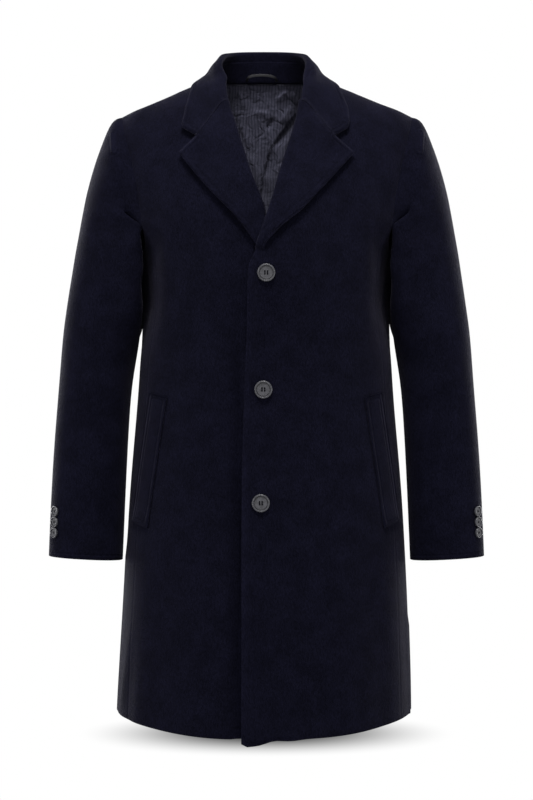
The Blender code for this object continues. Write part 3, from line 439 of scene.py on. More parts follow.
# Profile from the dish to the back: share of the radius, share of the thickness
BUTTON_PROFILE = (
    (0.60, DISH_HEIGHT),
    (0.66, 0.585),
    (0.695, 0.60),
    (0.71, 0.59),
    (0.725, 0.30),
    (0.785, 0.30),
    (0.80, 0.72),
    (0.82, 0.92),
    (0.86, 0.985),
    (0.90, 1.00),
    (0.945, 0.965),
    (0.98, 0.86),
    (1.00, 0.68),
    (0.995, 0.48),
    (0.97, 0.26),
    (0.93, 0.10),
    (0.86, 0.0),
)


def srgb(code):
    """Linear colour of a hex code."""
    parts = [int(code[i : i + 2], 16) / 255 for i in (1, 3, 5)]
    linear = [c / 12.92 if c <= 0.04045 else ((c + 0.055) / 1.055) ** 2.4 for c in parts]
    return (*linear, 1.0)


def ease(value, start, end):
    """A soft step from 0 at the start to 1 at the end."""
    t = np.clip((value - start) / (end - start), 0.0, 1.0)
    return t * t * (3 - 2 * t)


def bell(value, half):
    """A soft hump: 1 at 0, and about a third at the half width."""
    return np.exp(-((value / half) ** 2))


def add_node(tree, kind, settings=None, **links):
    """A shader node; a link is a number, a colour or another node's output, and _0 is the first input."""
    made = tree.nodes.new(kind)
    for name, value in (settings or {}).items():
        setattr(made, name, value)
    for name, value in links.items():
        socket = made.inputs[int(name[1:])] if name[1:].isdigit() else made.inputs[name.replace("_", " ")]
        if isinstance(value, bpy.types.NodeSocket):
            tree.links.new(value, socket)
        else:
            socket.default_value = value
    return made


def new_material(name):
    made = bpy.data.materials.new(name)
    made.use_nodes = True
    made.node_tree.nodes.clear()
    return made, made.node_tree


def finish_material(tree, **sockets):
    shader = add_node(tree, "ShaderNodeBsdfPrincipled", **sockets)
    add_node(tree, "ShaderNodeOutputMaterial", Surface=shader.outputs["BSDF"])


def object_place(tree):
    return add_node(tree, "ShaderNodeTexCoord").outputs["Object"]


def stored(tree, name):
    """A value that the mesh's points carry."""
    return add_node(tree, "ShaderNodeAttribute", {"attribute_name": name}).outputs["Fac"]


def noise(tree, **sockets):
    return add_node(tree, "ShaderNodeTexNoise", **sockets).outputs[0]


def bump(tree, **sockets):
    return add_node(tree, "ShaderNodeBump", **sockets).outputs[0]


def ramp(tree, value, start, result):
    """A number eased from one range to another, each given by its two ends."""
    made = add_node(
        tree,
        "ShaderNodeMapRange",
        {"interpolation_type": "SMOOTHSTEP"},
        Value=value,
        From_Min=start[0],
        From_Max=start[1],
        To_Min=result[0],
        To_Max=result[1],
    )
    return made.outputs["Result"]


def maths(tree, operation, first, second=0.0):
    return add_node(tree, "ShaderNodeMath", {"operation": operation}, _0=first, _1=second).outputs[0]


def product(tree, first, *others):
    for other in others:
        first = maths(tree, "MULTIPLY", first, other)
    return first


def mixed(tree, blend, share, first, second):
    """Two colours, mixed or multiplied."""
    settings = {"data_type": "RGBA", "blend_type": blend}
    return add_node(tree, "ShaderNodeMix", settings, _0=share, _6=first, _7=second).outputs[2]


def wool():
    """Dark navy melton: a matt, felted face with a short nap that catches a little light at the edges, and
    a highlight painted along its turned edges.
    """
    made, tree = new_material("navy melton wool")
    place = object_place(tree)
    hanging = add_node(tree, "ShaderNodeMapping", _0=place, Scale=(1.0, 1.0, 0.45)).outputs[0]
    patches = noise(tree, Vector=place, Scale=38.0, Detail=3.0, Roughness=0.55)
    nap = noise(tree, Vector=hanging, Scale=520.0, Detail=4.0, Roughness=0.68)
    fibres = noise(tree, Vector=hanging, Scale=2300.0, Detail=3.0, Roughness=0.7)
    edge = stored(tree, "free_edge")
    tone = product(
        tree,
        ramp(tree, patches, NOISE_RANGE, PATCH_TONES),
        # Highlight painted along the turned edges
        ramp(tree, edge, PAINTED_HIGHLIGHT_FADE, PAINTED_HIGHLIGHT_TONES),
        ramp(tree, nap, NAP_RANGE, NAP_TONES),
        ramp(tree, fibres, NOISE_RANGE, FIBRE_TONES),
    )
    stitched = product(
        tree,
        ramp(tree, edge, STITCHES_START, RISING),
        ramp(tree, edge, STITCHES_END, FALLING),
        STITCHES_DEPTH,
    )
    form = maths(tree, "SUBTRACT", ramp(tree, edge, EDGE_ROLL, RISING), stitched)
    soft = bump(tree, Strength=0.9, Distance=0.0022, Height=form)
    felt = maths(tree, "ADD", nap, product(tree, fibres, FIBRE_RELIEF))
    finish_material(
        tree,
        Base_Color=mixed(tree, "MULTIPLY", 1.0, srgb(WOOL_COLOUR), tone),
        Roughness=0.95,
        Specular_IOR_Level=0.03,
        Sheen_Weight=0.040,
        Sheen_Roughness=0.36,
        Sheen_Tint=srgb(WOOL_SHEEN),
        Normal=bump(tree, Strength=0.75, Distance=0.0011, Height=felt, Normal=soft),
    )
    return made


def stripes(tree, wander):
    """Where the lining's stripes run: 1 on a stripe and 0 between two."""
    shifted = maths(tree, "ADD", stored(tree, "across"), product(tree, wander, STRIPE_WANDER))
    above_zero = maths(tree, "ADD", shifted, 1.0)
    phase = maths(tree, "FRACT", maths(tree, "DIVIDE", above_zero, STRIPE_SPACING))
    from_line = maths(tree, "ABSOLUTE", maths(tree, "SUBTRACT", phase, 0.5))
    return ramp(tree, from_line, STRIPE_EDGE, FALLING)


def lining():
    """Charcoal lining with fine darker stripes down it, crushed into a net of small soft creases, with
    shade painted in the creases, under its sewn top and lower down the neck.
    """
    made, tree = new_material("striped charcoal lining")
    place = object_place(tree)
    wander = add_node(tree, "ShaderNodeTexNoise", Vector=place, Scale=34.0, Detail=2.0)
    bent = add_node(
        tree,
        "ShaderNodeVectorMath",
        {"operation": "MULTIPLY_ADD"},
        _0=wander.outputs["Color"],
        _1=(NET_BEND, NET_BEND, NET_BEND),
        _2=place,
    ).outputs["Vector"]
    hanging = add_node(
        tree, "ShaderNodeMapping", _0=bent, Rotation=(0.0, 0.5, 0.0), Scale=(1.0, 1.0, 0.6)
    ).outputs[0]
    from_edges = {"feature": "DISTANCE_TO_EDGE"}
    net = add_node(tree, "ShaderNodeTexVoronoi", from_edges, Vector=hanging, Scale=62.0)
    here_and_there = noise(tree, Vector=place, Scale=48.0, Detail=1.0)
    creases = product(
        tree,
        ramp(tree, net.outputs["Distance"], NET_WIDTH, FALLING),
        ramp(tree, here_and_there, NET_SHOWN, RISING),
    )
    swells = noise(tree, Vector=hanging, Scale=90.0, Detail=2.0, Distortion=0.6)
    height = add_node(tree, "ShaderNodeSeparateXYZ", Vector=place).outputs["Z"]
    # Painted shade under its sewn top, lower down the neck and in the creases
    tone = product(
        tree,
        ramp(tree, stored(tree, "free_edge"), TOP_SHADE, TOP_TONES),
        ramp(tree, height, NECK_SHADE, NECK_TONES),
        ramp(tree, creases, RISING, CREASE_PAINTED_SHADE),
        ramp(tree, swells, NOISE_RANGE, SWELL_TONES),
    )
    stripe = stripes(tree, wander.outputs[0])
    ground = mixed(tree, "MIX", stripe, srgb(LINING_COLOUR), srgb(STRIPE_COLOUR))
    relief = maths(tree, "SUBTRACT", swells, product(tree, creases, CREASE_DEPTH))
    soft = bump(tree, Strength=0.45, Distance=0.0045, Height=relief)
    weave = noise(tree, Vector=place, Scale=2600.0, Detail=2.0)
    finish_material(
        tree,
        Base_Color=mixed(tree, "MULTIPLY", 1.0, ground, tone),
        Roughness=0.75,
        Specular_IOR_Level=0.08,
        Normal=bump(tree, Strength=0.25, Distance=0.0003, Height=weave, Normal=soft),
    )
    return made


def satin():
    """Grey satin band: a smooth face with a soft, broad shine."""
    made, tree = new_material("grey satin")
    grain = noise(tree, Vector=object_place(tree), Scale=1800.0, Detail=2.0)
    finish_material(
        tree,
        Base_Color=srgb(SATIN_COLOUR),
        Roughness=0.45,
        Specular_IOR_Level=0.3,
        Normal=bump(tree, Strength=0.2, Distance=0.0003, Height=grain),
    )
    return made


def horn():
    """Dark grey button plastic with faint clouds and a half gloss on its rim."""
    made, tree = new_material("grey button horn")
    clouds = noise(tree, Vector=object_place(tree), Scale=240.0, Detail=3.0, Distortion=0.6)
    share = ramp(tree, clouds, NOISE_RANGE, RISING)
    colour = mixed(tree, "MIX", share, *[srgb(code) for code in HORN_COLOURS])
    finish_material(tree, Base_Color=colour, Roughness=0.36, Specular_IOR_Level=0.45)
    return made


def thread():
    """Dark twisted sewing thread for the stitches, also laid over the holes' walls and floors as painted
    shade in the holes.
    """
    made, tree = new_material("dark sewing thread")
    twist = add_node(tree, "ShaderNodeTexWave", Vector=object_place(tree), Scale=900.0, Distortion=1.0)
    finish_material(
        tree,
        Base_Color=srgb(THREAD_AND_HOLE_SHADE_COLOUR),
        Roughness=0.9,
        Specular_IOR_Level=0.05,
        Normal=bump(tree, Strength=0.4, Distance=0.0002, Height=twist.outputs["Fac"]),
    )
    return made


def pale_floor():
    """White studio floor that glows from below, with the coat's shadow painted softly into the glow under
    it.
    """
    made, tree = new_material("white studio floor")
    shares = add_node(
        tree,
        "ShaderNodeVectorMath",
        {"operation": "MULTIPLY"},
        _0=object_place(tree),
        _1=(1 / FOOT_HALF[0], 1 / FOOT_HALF[1], 0.0),
    ).outputs["Vector"]
    far = add_node(tree, "ShaderNodeVectorMath", {"operation": "LENGTH"}, _0=shares).outputs["Value"]
    finish_material(
        tree,
        Base_Color=BLACK,
        Specular_IOR_Level=0.0,
        Emission_Color=WHITE,
        # Painted shadow: the glow dims towards the coat's foot
        Emission_Strength=ramp(tree, far, (SHADE_START, SHADE_END), (SHADE_DEEPEST, 1.0)),
    )
    return made


def points_of(mesh):
    flat = np.empty(len(mesh.vertices) * 3, np.float32)
    mesh.vertices.foreach_get("co", flat)
    return flat.reshape(-1, 3).astype(float)


def set_points(mesh, points):
    mesh.vertices.foreach_set("co", points.astype(np.float32).ravel())
    mesh.update()


def shape_of(mesh):
    """A copy of a mesh that can be edited."""
    shape = bmesh.new()
    shape.from_mesh(mesh)
    return shape


def write_shape(shape, mesh):
    """Puts an edited shape into a mesh."""
    shape.to_mesh(mesh)
    shape.free()
    return mesh


def in_scene(name, data):
    """A new object in the scene."""
    made = bpy.data.objects.new(name, data)
    bpy.context.scene.collection.objects.link(made)
    return made


def side_of(name):
    """1 on the wearer's left and -1 on the right."""
    return 1 if "left" in name else -1


def moves(points, x=0.0, y=0.0, z=0.0):
    """One move for each point, from its parts along the axes."""
    made = np.zeros_like(points)
    for axis, part in enumerate((x, y, z)):
        made[:, axis] = part
    return made


def unit(vectors):
    return vectors / np.maximum(np.linalg.norm(vectors, axis=1, keepdims=True), TINY)


def body_outward(points):
    """The level direction straight out from the coat's middle."""
    return unit(moves(points, points[:, 0] / BODY_HALF_WIDTH**2, points[:, 1] / BODY_HALF_DEPTH**2))


def outwards(points, rise):
    """Moves straight out from the coat's middle."""
    return body_outward(points) * rise[:, None]


def along_front(points, across):
    """Moves across the coat that keep to the body's roundness."""
    out = body_outward(points)
    return moves(points, across, -across * out[:, 0] / np.minimum(out[:, 1], -LEAST_FORWARD))


def by_height(points, rows):
    """Values of a table of heights and values at the points' heights."""
    heights, values = np.array(rows).T
    return np.interp(points[:, 2], heights, values)


def fold_height(first, second, distance_scale, folds):
    """Summed rise of folds at places given by two coordinates, where the first is scaled to metres."""
    total = np.zeros(len(first))
    for start_a, start_b, end_a, end_b, *half_widths, rise in folds:
        a = (first - start_a) * distance_scale
        b = second - start_b
        along_a = (end_a - start_a) * distance_scale
        along_b = end_b - start_b
        length = math.hypot(along_a, along_b)
        along = (a * along_a + b * along_b) / length
        across = (a * along_b - b * along_a) / length
        bow = FOLD_SWAY * min(half_widths) * np.sin(along / length * 2 * math.pi)
        end = min(FOLD_END_SHARE * length, FOLD_END_WIDTHS * max(half_widths))
        past = FOLD_OVERRUN * end
        here = ease(along, -past, end) * ease(along, length + past, length - end)
        half = np.where(across > bow, half_widths[0], half_widths[-1])
        total += rise * here * bell(across - bow, half)
    return total


def body_folds(points):
    """How far the body's folds move each point, straight out from the coat's middle."""
    turn = np.degrees(np.arctan2(points[:, 0] / BODY_HALF_WIDTH, -points[:, 1] / BODY_HALF_DEPTH))
    rise = np.zeros(len(points))
    for wrap in (-360.0, 0.0, 360.0):
        rise += fold_height(turn + wrap, points[:, 2], math.radians(BODY_RADIUS), BODY_FOLDS)
    return outwards(points, rise)


def sleeve_folds(points, side):
    """How far the sleeves' folds move each point, straight out from the sleeve's middle line."""
    heights, *columns = np.array(SLEEVE_MIDDLE).T
    middle_x, middle_y = [np.interp(points[:, 2], heights, column) for column in columns]
    across = side * points[:, 0] - middle_x
    forward = middle_y - points[:, 1]
    turn = np.degrees(np.arctan2(forward, across)) % 360.0
    folds = [row[1:] for row in SLEEVE_FOLDS if row[0] == side]
    rise = fold_height(turn, points[:, 2], math.radians(SLEEVE_RADIUS), folds)
    return unit(moves(points, side * across, -forward)) * rise[:, None]


def arm_pit(points, side):
    """How the front of a sleeve folds over the pit of the arm."""
    heights, *columns = np.array(ARM_PIT).T
    bottom, inwards, forwards = [np.interp(points[:, 2], heights, column) for column in columns]
    whole, fade, end = PIT_REACH
    from_bottom = side * points[:, 0] - bottom
    share = ease(from_bottom, 0.0, whole) * ease(from_bottom, end, fade) * ease(points[:, 1], *PIT_DEPTH)
    return moves(points, -side * inwards * share, -forwards * share)


def side_hollow(points):
    """The body's sides, drawn in behind the fold of the sleeves."""
    share = ease(np.abs(points[:, 0]), *HOLLOW_SIDES) * ease(points[:, 1], *HOLLOW_DEPTHS)
    return moves(points, -np.sign(points[:, 0]) * by_height(points, SIDE_HOLLOW) * share)


def lining_rise(points):
    """How far the slack lining hangs forward of the back, none at its sewn edges."""
    from_centre = np.abs(points[:, 0])
    slack = LINING_SLACK * ease(points[:, 2], *SLACK_HEIGHTS) * ease(from_centre, *SLACK_SIDES)
    folds = fold_height(points[:, 0], points[:, 2], 1.0, LINING_FOLDS)
    return np.maximum(slack + folds * ease(points[:, 2], *LINING_FOLD_TOP), 0.0)


def pressed(mesh, points):
    """How far the iron has pressed a welt's face towards the front that it lies on."""
    facing = np.empty(len(points) * 3, np.float32)
    mesh.vertex_normals.foreach_get("vector", facing)
    turned_out = np.clip(np.sum(facing.reshape(-1, 3) * body_outward(points), axis=1), 0.0, 1.0)
    above_end = points[:, 2] - points[:, 2].min()
    return outwards(points, -WELT_PRESS * turned_out * ease(above_end, *WELT_END))


def edge_lift(points, distance, name):
    """How far a turned edge stands off what lies under it."""
    rise = np.zeros(len(points))
    for key, height, reach, start, whole in EDGE_LIFTS:
        if name.startswith(key):
            rise += height * bell(distance, reach) * ease(points[:, 2], start, whole)
    return outwards(points, rise)


def edge_band(points, distance):
    """The left front's edge, rolled up where the lapel runs out into it."""
    rise, start, whole, top, full, fade, end = EDGE_BAND
    along = ease(points[:, 2], top, full) * (1 - ease(points[:, 2], fade, end))
    return outwards(points, rise * ease(distance, start, whole) * along)


def lapel_end(points):
    """The lapel's low end, sunk into the front's edge."""
    depth, draw, start, end = LAPEL_END
    share = ease(points[:, 2], start, end)
    return along_front(points, draw * share) + outwards(points, -depth * share)


def edge_valley(points):
    """The right front, sunk beside the edge that lies over it."""
    place, half, depth, start, whole = EDGE_VALLEY
    return outwards(points, -depth * bell(points[:, 0] - place, half) * ease(points[:, 2], start, whole))


def share_across(points, side):
    """How far across a lapel each point is at its height: 0 at its fold, 1 at its outer edge."""
    across = side * points[:, 0]
    height = points[:, 2]
    levels = np.linspace(height.min(), height.max(), LAPEL_LEVELS)
    bands = [across[np.abs(height - level) < LEVEL_REACH] for level in levels]
    fold = np.interp(height, levels, [band.min() for band in bands])
    edge = np.interp(height, levels, [band.max() for band in bands])
    return np.clip((across - fold) / np.maximum(edge - fold, SAME_POINT), 0.0, 1.0)


def lapel_shape(points, distance, name):
    """How a lapel's fold and outer edge, and the left front's edge, lie beside the plain solids'."""
    side = name.rsplit("_", 1)[-1]
    place, slope = ROLL_LINES[side]
    from_fold = points[:, 0] - place - slope * (points[:, 2] - ROLL_TOP)
    across = by_height(points, ROLL_SLIPS[side]) * bell(from_fold, ROLL_REACH)
    if name.startswith("lapel"):
        across += by_height(points, LAPEL_FULLNESS[side]) * share_across(points, side_of(name))
    if name.endswith("_left"):
        from_edge = distance if name.startswith("front") else np.zeros(len(points))
        across += by_height(points, EDGE_LEAN) * bell(from_edge, EDGE_LEAN_REACH)
    return along_front(points, across)


def leaf_roundness(points):
    """The collar's leaf, fuller where it goes over the shoulders."""
    out = np.zeros(len(points))
    for height, half, reach in LEAF_ROUNDNESS:
        out += reach * bell(points[:, 2] - height, half)
    return moves(points, np.sign(points[:, 0]) * out * ease(np.abs(points[:, 0]), *LEAF_SIDES))


def gorge_move(points, name):
    """A lapel and the collar's leaf, drawn flush at the end of their seam."""
    share = np.zeros(len(points))
    for place in GORGE_ENDS:
        share += bell(np.linalg.norm(points - np.array(place), axis=1), GORGE_REACH)
    return share[:, None] * np.array(GORGE_MOVES[name.split("_")[0]])


def hem_pull(points):
    """The left front's hem, drawn up beside its rounded corner."""
    middle, half, rise, start, whole = HEM_PULL
    from_edge = np.clip((points[:, 0] - points[:, 0].min()) / CORNER_RADIUS, 0.0, 1.0)
    corner = CORNER_SHARE * CORNER_RADIUS * (1 - np.sqrt(1 - (1 - from_edge) ** 2))
    pull = rise * bell(points[:, 0] - middle, half)
    return moves(points, z=ease(points[:, 2], start, whole) * (pull + corner))


def moved(mesh, name, distance=None):
    """Moves a shell's points by the folds of what it belongs to and by the lie of its edges."""
    points = points_of(mesh)
    if name.startswith("sleeve"):
        shift = sleeve_folds(points, side_of(name)) + arm_pit(points, side_of(name))
    elif name == "lining_back":
        shift = moves(points, y=-lining_rise(points))
    else:
        shift = body_folds(points) + edge_lift(points, distance, name)
    if name.startswith("pocket_welt"):
        shift += pressed(mesh, points)
    if name.startswith(("lapel", "front")):
        shift += lapel_shape(points, distance, name)
    if name.startswith(("front", "side_panel")):
        shift += side_hollow(points)
    if name == "front_left":
        shift += hem_pull(points) + edge_band(points, distance)
    if name == "lapel_left":
        shift += lapel_end(points)
    if name == "front_right":
        shift += edge_valley(points)
    if name == "collar_fall":
        shift += leaf_roundness(points)
    if name.startswith(("lapel", "collar_fall")):
        shift += gorge_move(points, name)
    set_points(mesh, points + shift)


def sharp_edges(shape):
    return [edge for edge in shape.edges if edge.calc_face_angle(0.0) > math.radians(RIM_ANGLE)]


def quads_of(node):
    """A copy of a solid, merged and made of quads again, with its rims marked to stay sharp."""
    shape = shape_of(NODES[node].data)
    bmesh.ops.remove_doubles(shape, verts=list(shape.verts), dist=SAME_POINT)
    bmesh.ops.join_triangles(
        shape,
        faces=list(shape.faces),
        angle_face_threshold=math.radians(FLAT_PAIR_ANGLE),
        angle_shape_threshold=math.pi,
    )
    crease = shape.edges.layers.float.new("crease_edge")
    for edge in sharp_edges(shape):
        edge[crease] = 1.0
    return write_shape(shape, bpy.data.meshes.new(node + "_coarse"))


def shell(node, levels, fitting_rounds=0):
    """A solid's form, rounded; each fitting round brings it back towards the solid's own points."""
    mesh = quads_of(node)
    holder = in_scene(node + "_coarse", mesh)
    modifier = holder.modifiers.new("rounding", "SUBSURF")
    modifier.levels = levels
    modifier.render_levels = levels

    def rounded():
        graph = bpy.context.evaluated_depsgraph_get()
        return bpy.data.meshes.new_from_object(holder.evaluated_get(graph))

    own = points_of(mesh)
    for _ in range(fitting_rounds):
        trial = rounded()
        set_points(mesh, points_of(mesh) + own - points_of(trial)[: len(own)])
        bpy.data.meshes.remove(trial)
    fine = rounded()
    bpy.data.objects.remove(holder)
    bpy.data.meshes.remove(mesh)
    return fine


def finer_where_shown(mesh):
    """Splits the faces of the lining that show in the neck."""
    half, lowest = LINING_SHOWN
    shape = shape_of(mesh)
    edges = [
        edge for edge in shape.edges if all(abs(v.co.x) < half and v.co.z > lowest for v in edge.verts)
    ]
    bmesh.ops.subdivide_edges(shape, edges=edges, cuts=1, use_grid_fill=True)
    write_shape(shape, mesh)


def rim_points(mesh):
    """Points on a shell's sharp rims."""
    shape = shape_of(mesh)
    found = {vertex.index for edge in sharp_edges(shape) for vertex in edge.verts}
    points = [vertex.co.copy() for vertex in shape.verts if vertex.index in found]
    shape.free()
    return points


def tree_of(points):
    """A search tree for the nearest of some points."""
    tree = kdtree.KDTree(len(points))
    for number, point in enumerate(points):
        tree.insert(point, number)
    tree.balance()
    return tree


def place_on_rim(tree, point):
    """The place on a rim, between its two points that are nearest."""
    (first, _, _), (second, _, _) = tree.find_n(point, 2)
    run = second - first
    share = (Vector(point) - first).dot(run) / max(run.length_squared, SAME_POINT**2)
    return first + run * min(max(share, 0.0), 1.0)


def may_be_turned(name, point):
    """Whether a rim's point lies where turned edges are, and not on the hem."""
    near_middle = name.startswith("front") and abs(point.x) < FRONT_EDGE_REACH
    return point.z > HEM_TOP or near_middle


def free_rims(rims, trees):
    """For each shell, the points of its turned edges, which no other shell is sewn to."""
    free = {}
    for name, points in rims.items():
        others = [tree for other, tree in trees.items() if other != name]
        loose = [
            all((place_on_rim(tree, point) - point).length > SEAM_REACH for tree in others)
            for point in points
        ]
        if name.startswith("lapel"):
            loose = np.logical_and(loose, share_across(np.array(points), side_of(name)) > OUTER_SHARE)
        free[name] = [
            point for point, is_loose in zip(points, loose) if is_loose and may_be_turned(name, point)
        ]
    return free


def sewn_together(shells, trees):
    """Draws sewn rims together, each a little past half way, so that no light comes through a seam."""
    for name, mesh in shells.items():
        others = [tree for other, tree in trees.items() if other != name]
        points = points_of(mesh)
        for number, point in enumerate(points):
            if trees[name].find(point)[2] > SAME_POINT:
                continue
            meetings = [np.array(place_on_rim(tree, point)) for tree in others]
            meeting = min(meetings, key=lambda place: np.linalg.norm(place - point))
            if np.linalg.norm(meeting - point) < SEAM_REACH:
                points[number] = point + SEAM_DRAW * (meeting - point)
        set_points(mesh, points)


def distances(mesh, places):
    """How far each point of a mesh is from the nearest of some places."""
    if not places:
        return np.ones(len(mesh.vertices))
    tree = tree_of(places)
    return np.array([tree.find(vertex.co)[2] for vertex in mesh.vertices])


def store(mesh, name, values):
    """Lets a mesh's points carry a value, for its material."""
    layer = mesh.attributes.new(name, "FLOAT", "POINT")
    layer.data.foreach_set("value", values)


def mark_edges(mesh, free, widening=1.0):
    """Each point's distance from the nearest turned edge, stored as less where the edge's roll is wider."""
    distance = distances(mesh, free)
    store(mesh, "free_edge", distance / widening)
    return distance


def rounded_rims(mesh):
    """Takes the sharpness off a shell's rims, more at turned edges than at seams."""
    shape = shape_of(mesh)
    distance = shape.verts.layers.float["free_edge"]
    for width, reach in ((EDGE_ROUND, SAME_POINT), (SEAM_ROUND, math.inf)):
        sharp = [
            edge for edge in sharp_edges(shape) if max(vertex[distance] for vertex in edge.verts) < reach
        ]
        bmesh.ops.bevel(
            shape,
            geom=sharp,
            offset=width,
            offset_type="OFFSET",
            affect="EDGES",
            segments=EDGE_SEGMENTS,
            profile=EDGE_PROFILE,
            material=-1,
            clamp_overlap=True,
        )
    write_shape(shape, mesh)


def place_piece(name, mesh, materials, node):
    """Puts a finished piece into the scene in its node's place."""
    mesh.name = name
    for one in materials:
        mesh.materials.append(one)
    mesh.shade_smooth()
    piece = in_scene(name, mesh)
    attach(piece, "root")
    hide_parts(node)
    return piece


def make_wool(material):
    """The shells of wool: sewn together first, then folded and rounded one by one."""
    shells = {}
    for name in WOOL_NODES:
        folded = name.startswith(("lapel", "collar"))
        shells[name] = shell(name, CLOTH_LEVELS, 0 if folded else FITTING_ROUNDS)
    rims = {name: rim_points(mesh) for name, mesh in shells.items()}
    trees = {name: tree_of(points) for name, points in rims.items()}
    free = free_rims(rims, trees)
    sewn_together(shells, trees)
    for name, mesh in shells.items():
        distance = mark_edges(mesh, free[name], FRONT_EDGE_WIDENING if name.startswith("front") else 1.0)
        moved(mesh, name, distance)
        rounded_rims(mesh)
        piece = place_piece("wool_" + name, mesh, [material], name)


def make_lining(material):
    """The back lining, one step finer than the wool; its stripes go with its folds."""
    mesh = shell("lining_back", CLOTH_LEVELS + 1)
    finer_where_shown(mesh)
    points = points_of(mesh)
    store(mesh, "across", points[:, 0] + STRIPE_PULL * lining_rise(points))
    # Its sewn top, from which shade is painted down under the collar
    mark_edges(mesh, [point for point in rim_points(mesh) if point.z > LINING_TOP])
    moved(mesh, "lining_back")
    piece = place_piece("lining", mesh, [material], "lining_back")


def make_loop(material):
    """The hanger loop, which has no turned edge."""
    mesh = shell("hanger_loop", CLOTH_LEVELS)
    mark_edges(mesh, [])
    rounded_rims(mesh)
    piece = place_piece("loop", mesh, [material], "hanger_loop")


def button_body(shape, across, thick):
    """Spins a button's profile and closes its back, at z = 0; gives the edges round its open dish."""
    corners = [shape.verts.new((r * across / 2, 0.0, h * thick)) for r, h in BUTTON_PROFILE]
    edges = [shape.edges.new(pair) for pair in zip(corners, corners[1:])]
    bmesh.ops.spin(
        shape,
        geom=corners + edges,
        axis=(0.0, 0.0, 1.0),
        cent=(0.0, 0.0, 0.0),
        angle=math.tau,
        steps=BUTTON_SIDES,
        use_merge=True,
    )
    bmesh.ops.remove_doubles(shape, verts=list(shape.verts), dist=BUTTON_SAME_POINT)
    open_edges = [edge for edge in shape.edges if edge.is_boundary]
    dish_ring = [edge for edge in open_edges if edge.verts[0].co.z > BACK_HEIGHT * thick]
    back_ring = [edge for edge in open_edges if edge not in dish_ring]
    bmesh.ops.edgeloop_fill(shape, edges=back_ring)
    return dish_ring


def button_holes(shape, across, thick, step, dish_ring):
    """Closes the dish round four holes; gives the faces inside them."""
    hole_edges = []
    for x, y in ((1, 1), (-1, 1), (-1, -1), (1, -1)):
        place = Matrix.Translation((x * step, y * step, DISH_HEIGHT * thick))
        ring = bmesh.ops.create_circle(
            shape, cap_ends=False, segments=HOLE_SIDES, radius=HOLE_RADIUS_SHARE * across, matrix=place
        )
        hole_edges += list({edge for vertex in ring["verts"] for edge in vertex.link_edges})
    bmesh.ops.triangle_fill(shape, use_beauty=True, use_dissolve=False, edges=dish_ring + hole_edges)
    grown = bmesh.ops.extrude_edge_only(shape, edges=hole_edges)["geom"]
    low = [item for item in grown if isinstance(item, bmesh.types.BMVert)]
    bmesh.ops.translate(shape, verts=low, vec=(0.0, 0.0, -HOLE_DEPTH_SHARE * DISH_HEIGHT * thick))
    floor_edges = [item for item in grown if isinstance(item, bmesh.types.BMEdge) and item.is_boundary]
    floors = bmesh.ops.edgeloop_fill(shape, edges=floor_edges)["faces"]
    walls = [item for item in grown if isinstance(item, bmesh.types.BMFace)]
    return walls + floors


def button_stitches(shape, across, thick, step):
    """Lays two stitches of thread from hole to hole; gives their faces."""
    faces = []
    for way in (-1, 1):
        lift = Matrix.Translation((way * step, 0.0, DISH_HEIGHT * thick))
        stitch = bmesh.ops.create_cone(
            shape,
            cap_ends=True,
            segments=THREAD_SIDES,
            radius1=THREAD_RADIUS_SHARE * across,
            radius2=THREAD_RADIUS_SHARE * across,
            depth=2 * step,
            matrix=lift @ Matrix.Rotation(math.pi / 2, 4, "X"),
        )
        faces += {face for vertex in stitch["verts"] for face in vertex.link_faces}
    return faces


def button_shape(across, thick):
    """A four-hole button with a groove inside its rim, sewn on with two stitches."""
    shape = bmesh.new()
    step = HOLE_PLACE_SHARE * across / math.sqrt(2)
    dish_ring = button_body(shape, across, thick)
    dark = button_holes(shape, across, thick, step, dish_ring)
    bmesh.ops.recalc_face_normals(shape, faces=list(shape.faces))
    dark += button_stitches(shape, across, thick, step)
    # Dark thread on the stitches, and as painted shade on the holes' walls and floors
    for face in dark:
        face.material_index = 1
    return shape


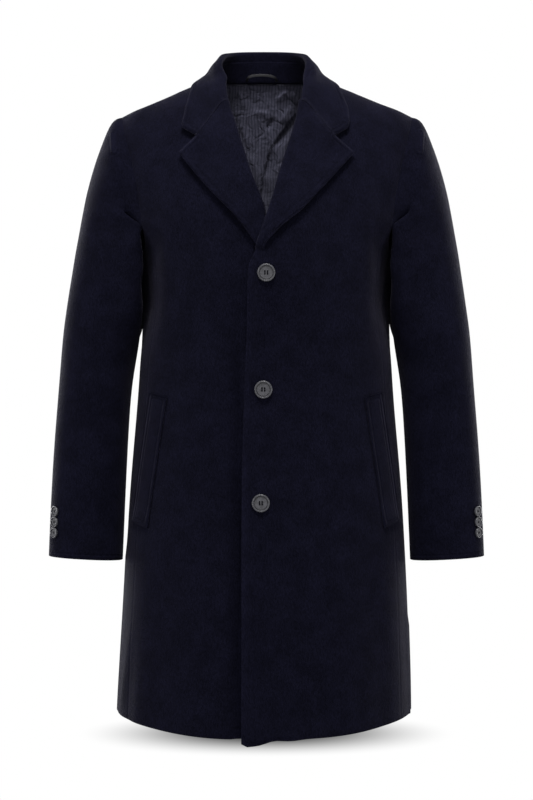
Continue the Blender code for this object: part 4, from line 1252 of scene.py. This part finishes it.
def make_button(node, materials):
    """A button in its solid's place, moved along with the cloth under it."""
    on_cuff = node.startswith("cuff")
    points = points_of(NODES[node].data)
    middle = points.mean(axis=0)
    _, _, axes = np.linalg.svd(points - middle)
    outer_side = np.array([side_of(node) if on_cuff else 0.0, -1.0, 0.0])
    out = axes[2] if axes[2] @ outer_side > 0 else -axes[2]
    heights = (points - middle) @ out
    flat = points - middle - heights[:, None] * out
    across = 2 * np.linalg.norm(flat, axis=1).max()
    foot = middle + out * heights.min()
    under = foot[None, :]
    shift = sleeve_folds(under, side_of(node)) if on_cuff else body_folds(under)
    shape = button_shape(across, heights.max() - heights.min())
    turn = Vector(out).to_track_quat("Z", "Y").to_matrix().to_4x4()
    place = Matrix.Translation(Vector(foot + shift[0])) @ turn
    bmesh.ops.transform(shape, matrix=place, verts=list(shape.verts))
    mesh = write_shape(shape, bpy.data.meshes.new(node))
    piece = place_piece("horn_" + node, mesh, materials, node)
    piece.data.set_sharp_from_angle(angle=math.radians(SHARP_ANGLE))


def make_floor():
    shape = bmesh.new()
    bmesh.ops.create_grid(shape, x_segments=1, y_segments=1, size=FLOOR_HALF)
    bmesh.ops.translate(shape, verts=list(shape.verts), vec=(0.0, 0.0, FLOOR_HEIGHT))
    mesh = write_shape(shape, bpy.data.meshes.new("floor"))
    mesh.materials.append(pale_floor())
    floor = in_scene("floor", mesh)


def make_lights():
    for name, (place, target, size, power) in LIGHTS.items():
        lamp = bpy.data.lights.new(name, "AREA")
        lamp.shape = "RECTANGLE"
        lamp.size, lamp.size_y = size
        lamp.energy = power
        holder = in_scene(name, lamp)
        holder.location = place
        holder.rotation_euler = (Vector(target) - Vector(place)).to_track_quat("-Z", "Y").to_euler()


def make_sky():
    """White all round: bright behind the coat, and only a dim glow on it."""
    world = bpy.data.worlds.new("white studio")
    world.use_nodes = True
    tree = world.node_tree
    tree.nodes.clear()
    seen = add_node(tree, "ShaderNodeLightPath").outputs["Is Camera Ray"]
    strength = ramp(tree, seen, RISING, (SKY_STRENGTH, BACKDROP_STRENGTH))
    back = add_node(tree, "ShaderNodeBackground", Color=WHITE, Strength=strength)
    add_node(tree, "ShaderNodeOutputWorld", Surface=back.outputs[0])
    bpy.context.scene.world = world


def make_camera():
    lens = bpy.data.cameras.new("camera")
    lens.lens = CAMERA_LENS
    lens.sensor_width = CAMERA_SENSOR
    camera = in_scene("camera", lens)
    camera.location = CAMERA_PLACE
    camera.rotation_euler = (math.pi / 2, 0.0, 0.0)
    bpy.context.scene.camera = camera
    bpy.context.scene.view_settings.view_transform = "Standard"


make_wool(wool())
make_lining(lining())
make_loop(satin())
button_materials = [horn(), thread()]
for button_node in BUTTON_NODES:
    make_button(button_node, button_materials)
make_floor()
make_lights()
make_sky()
make_camera()
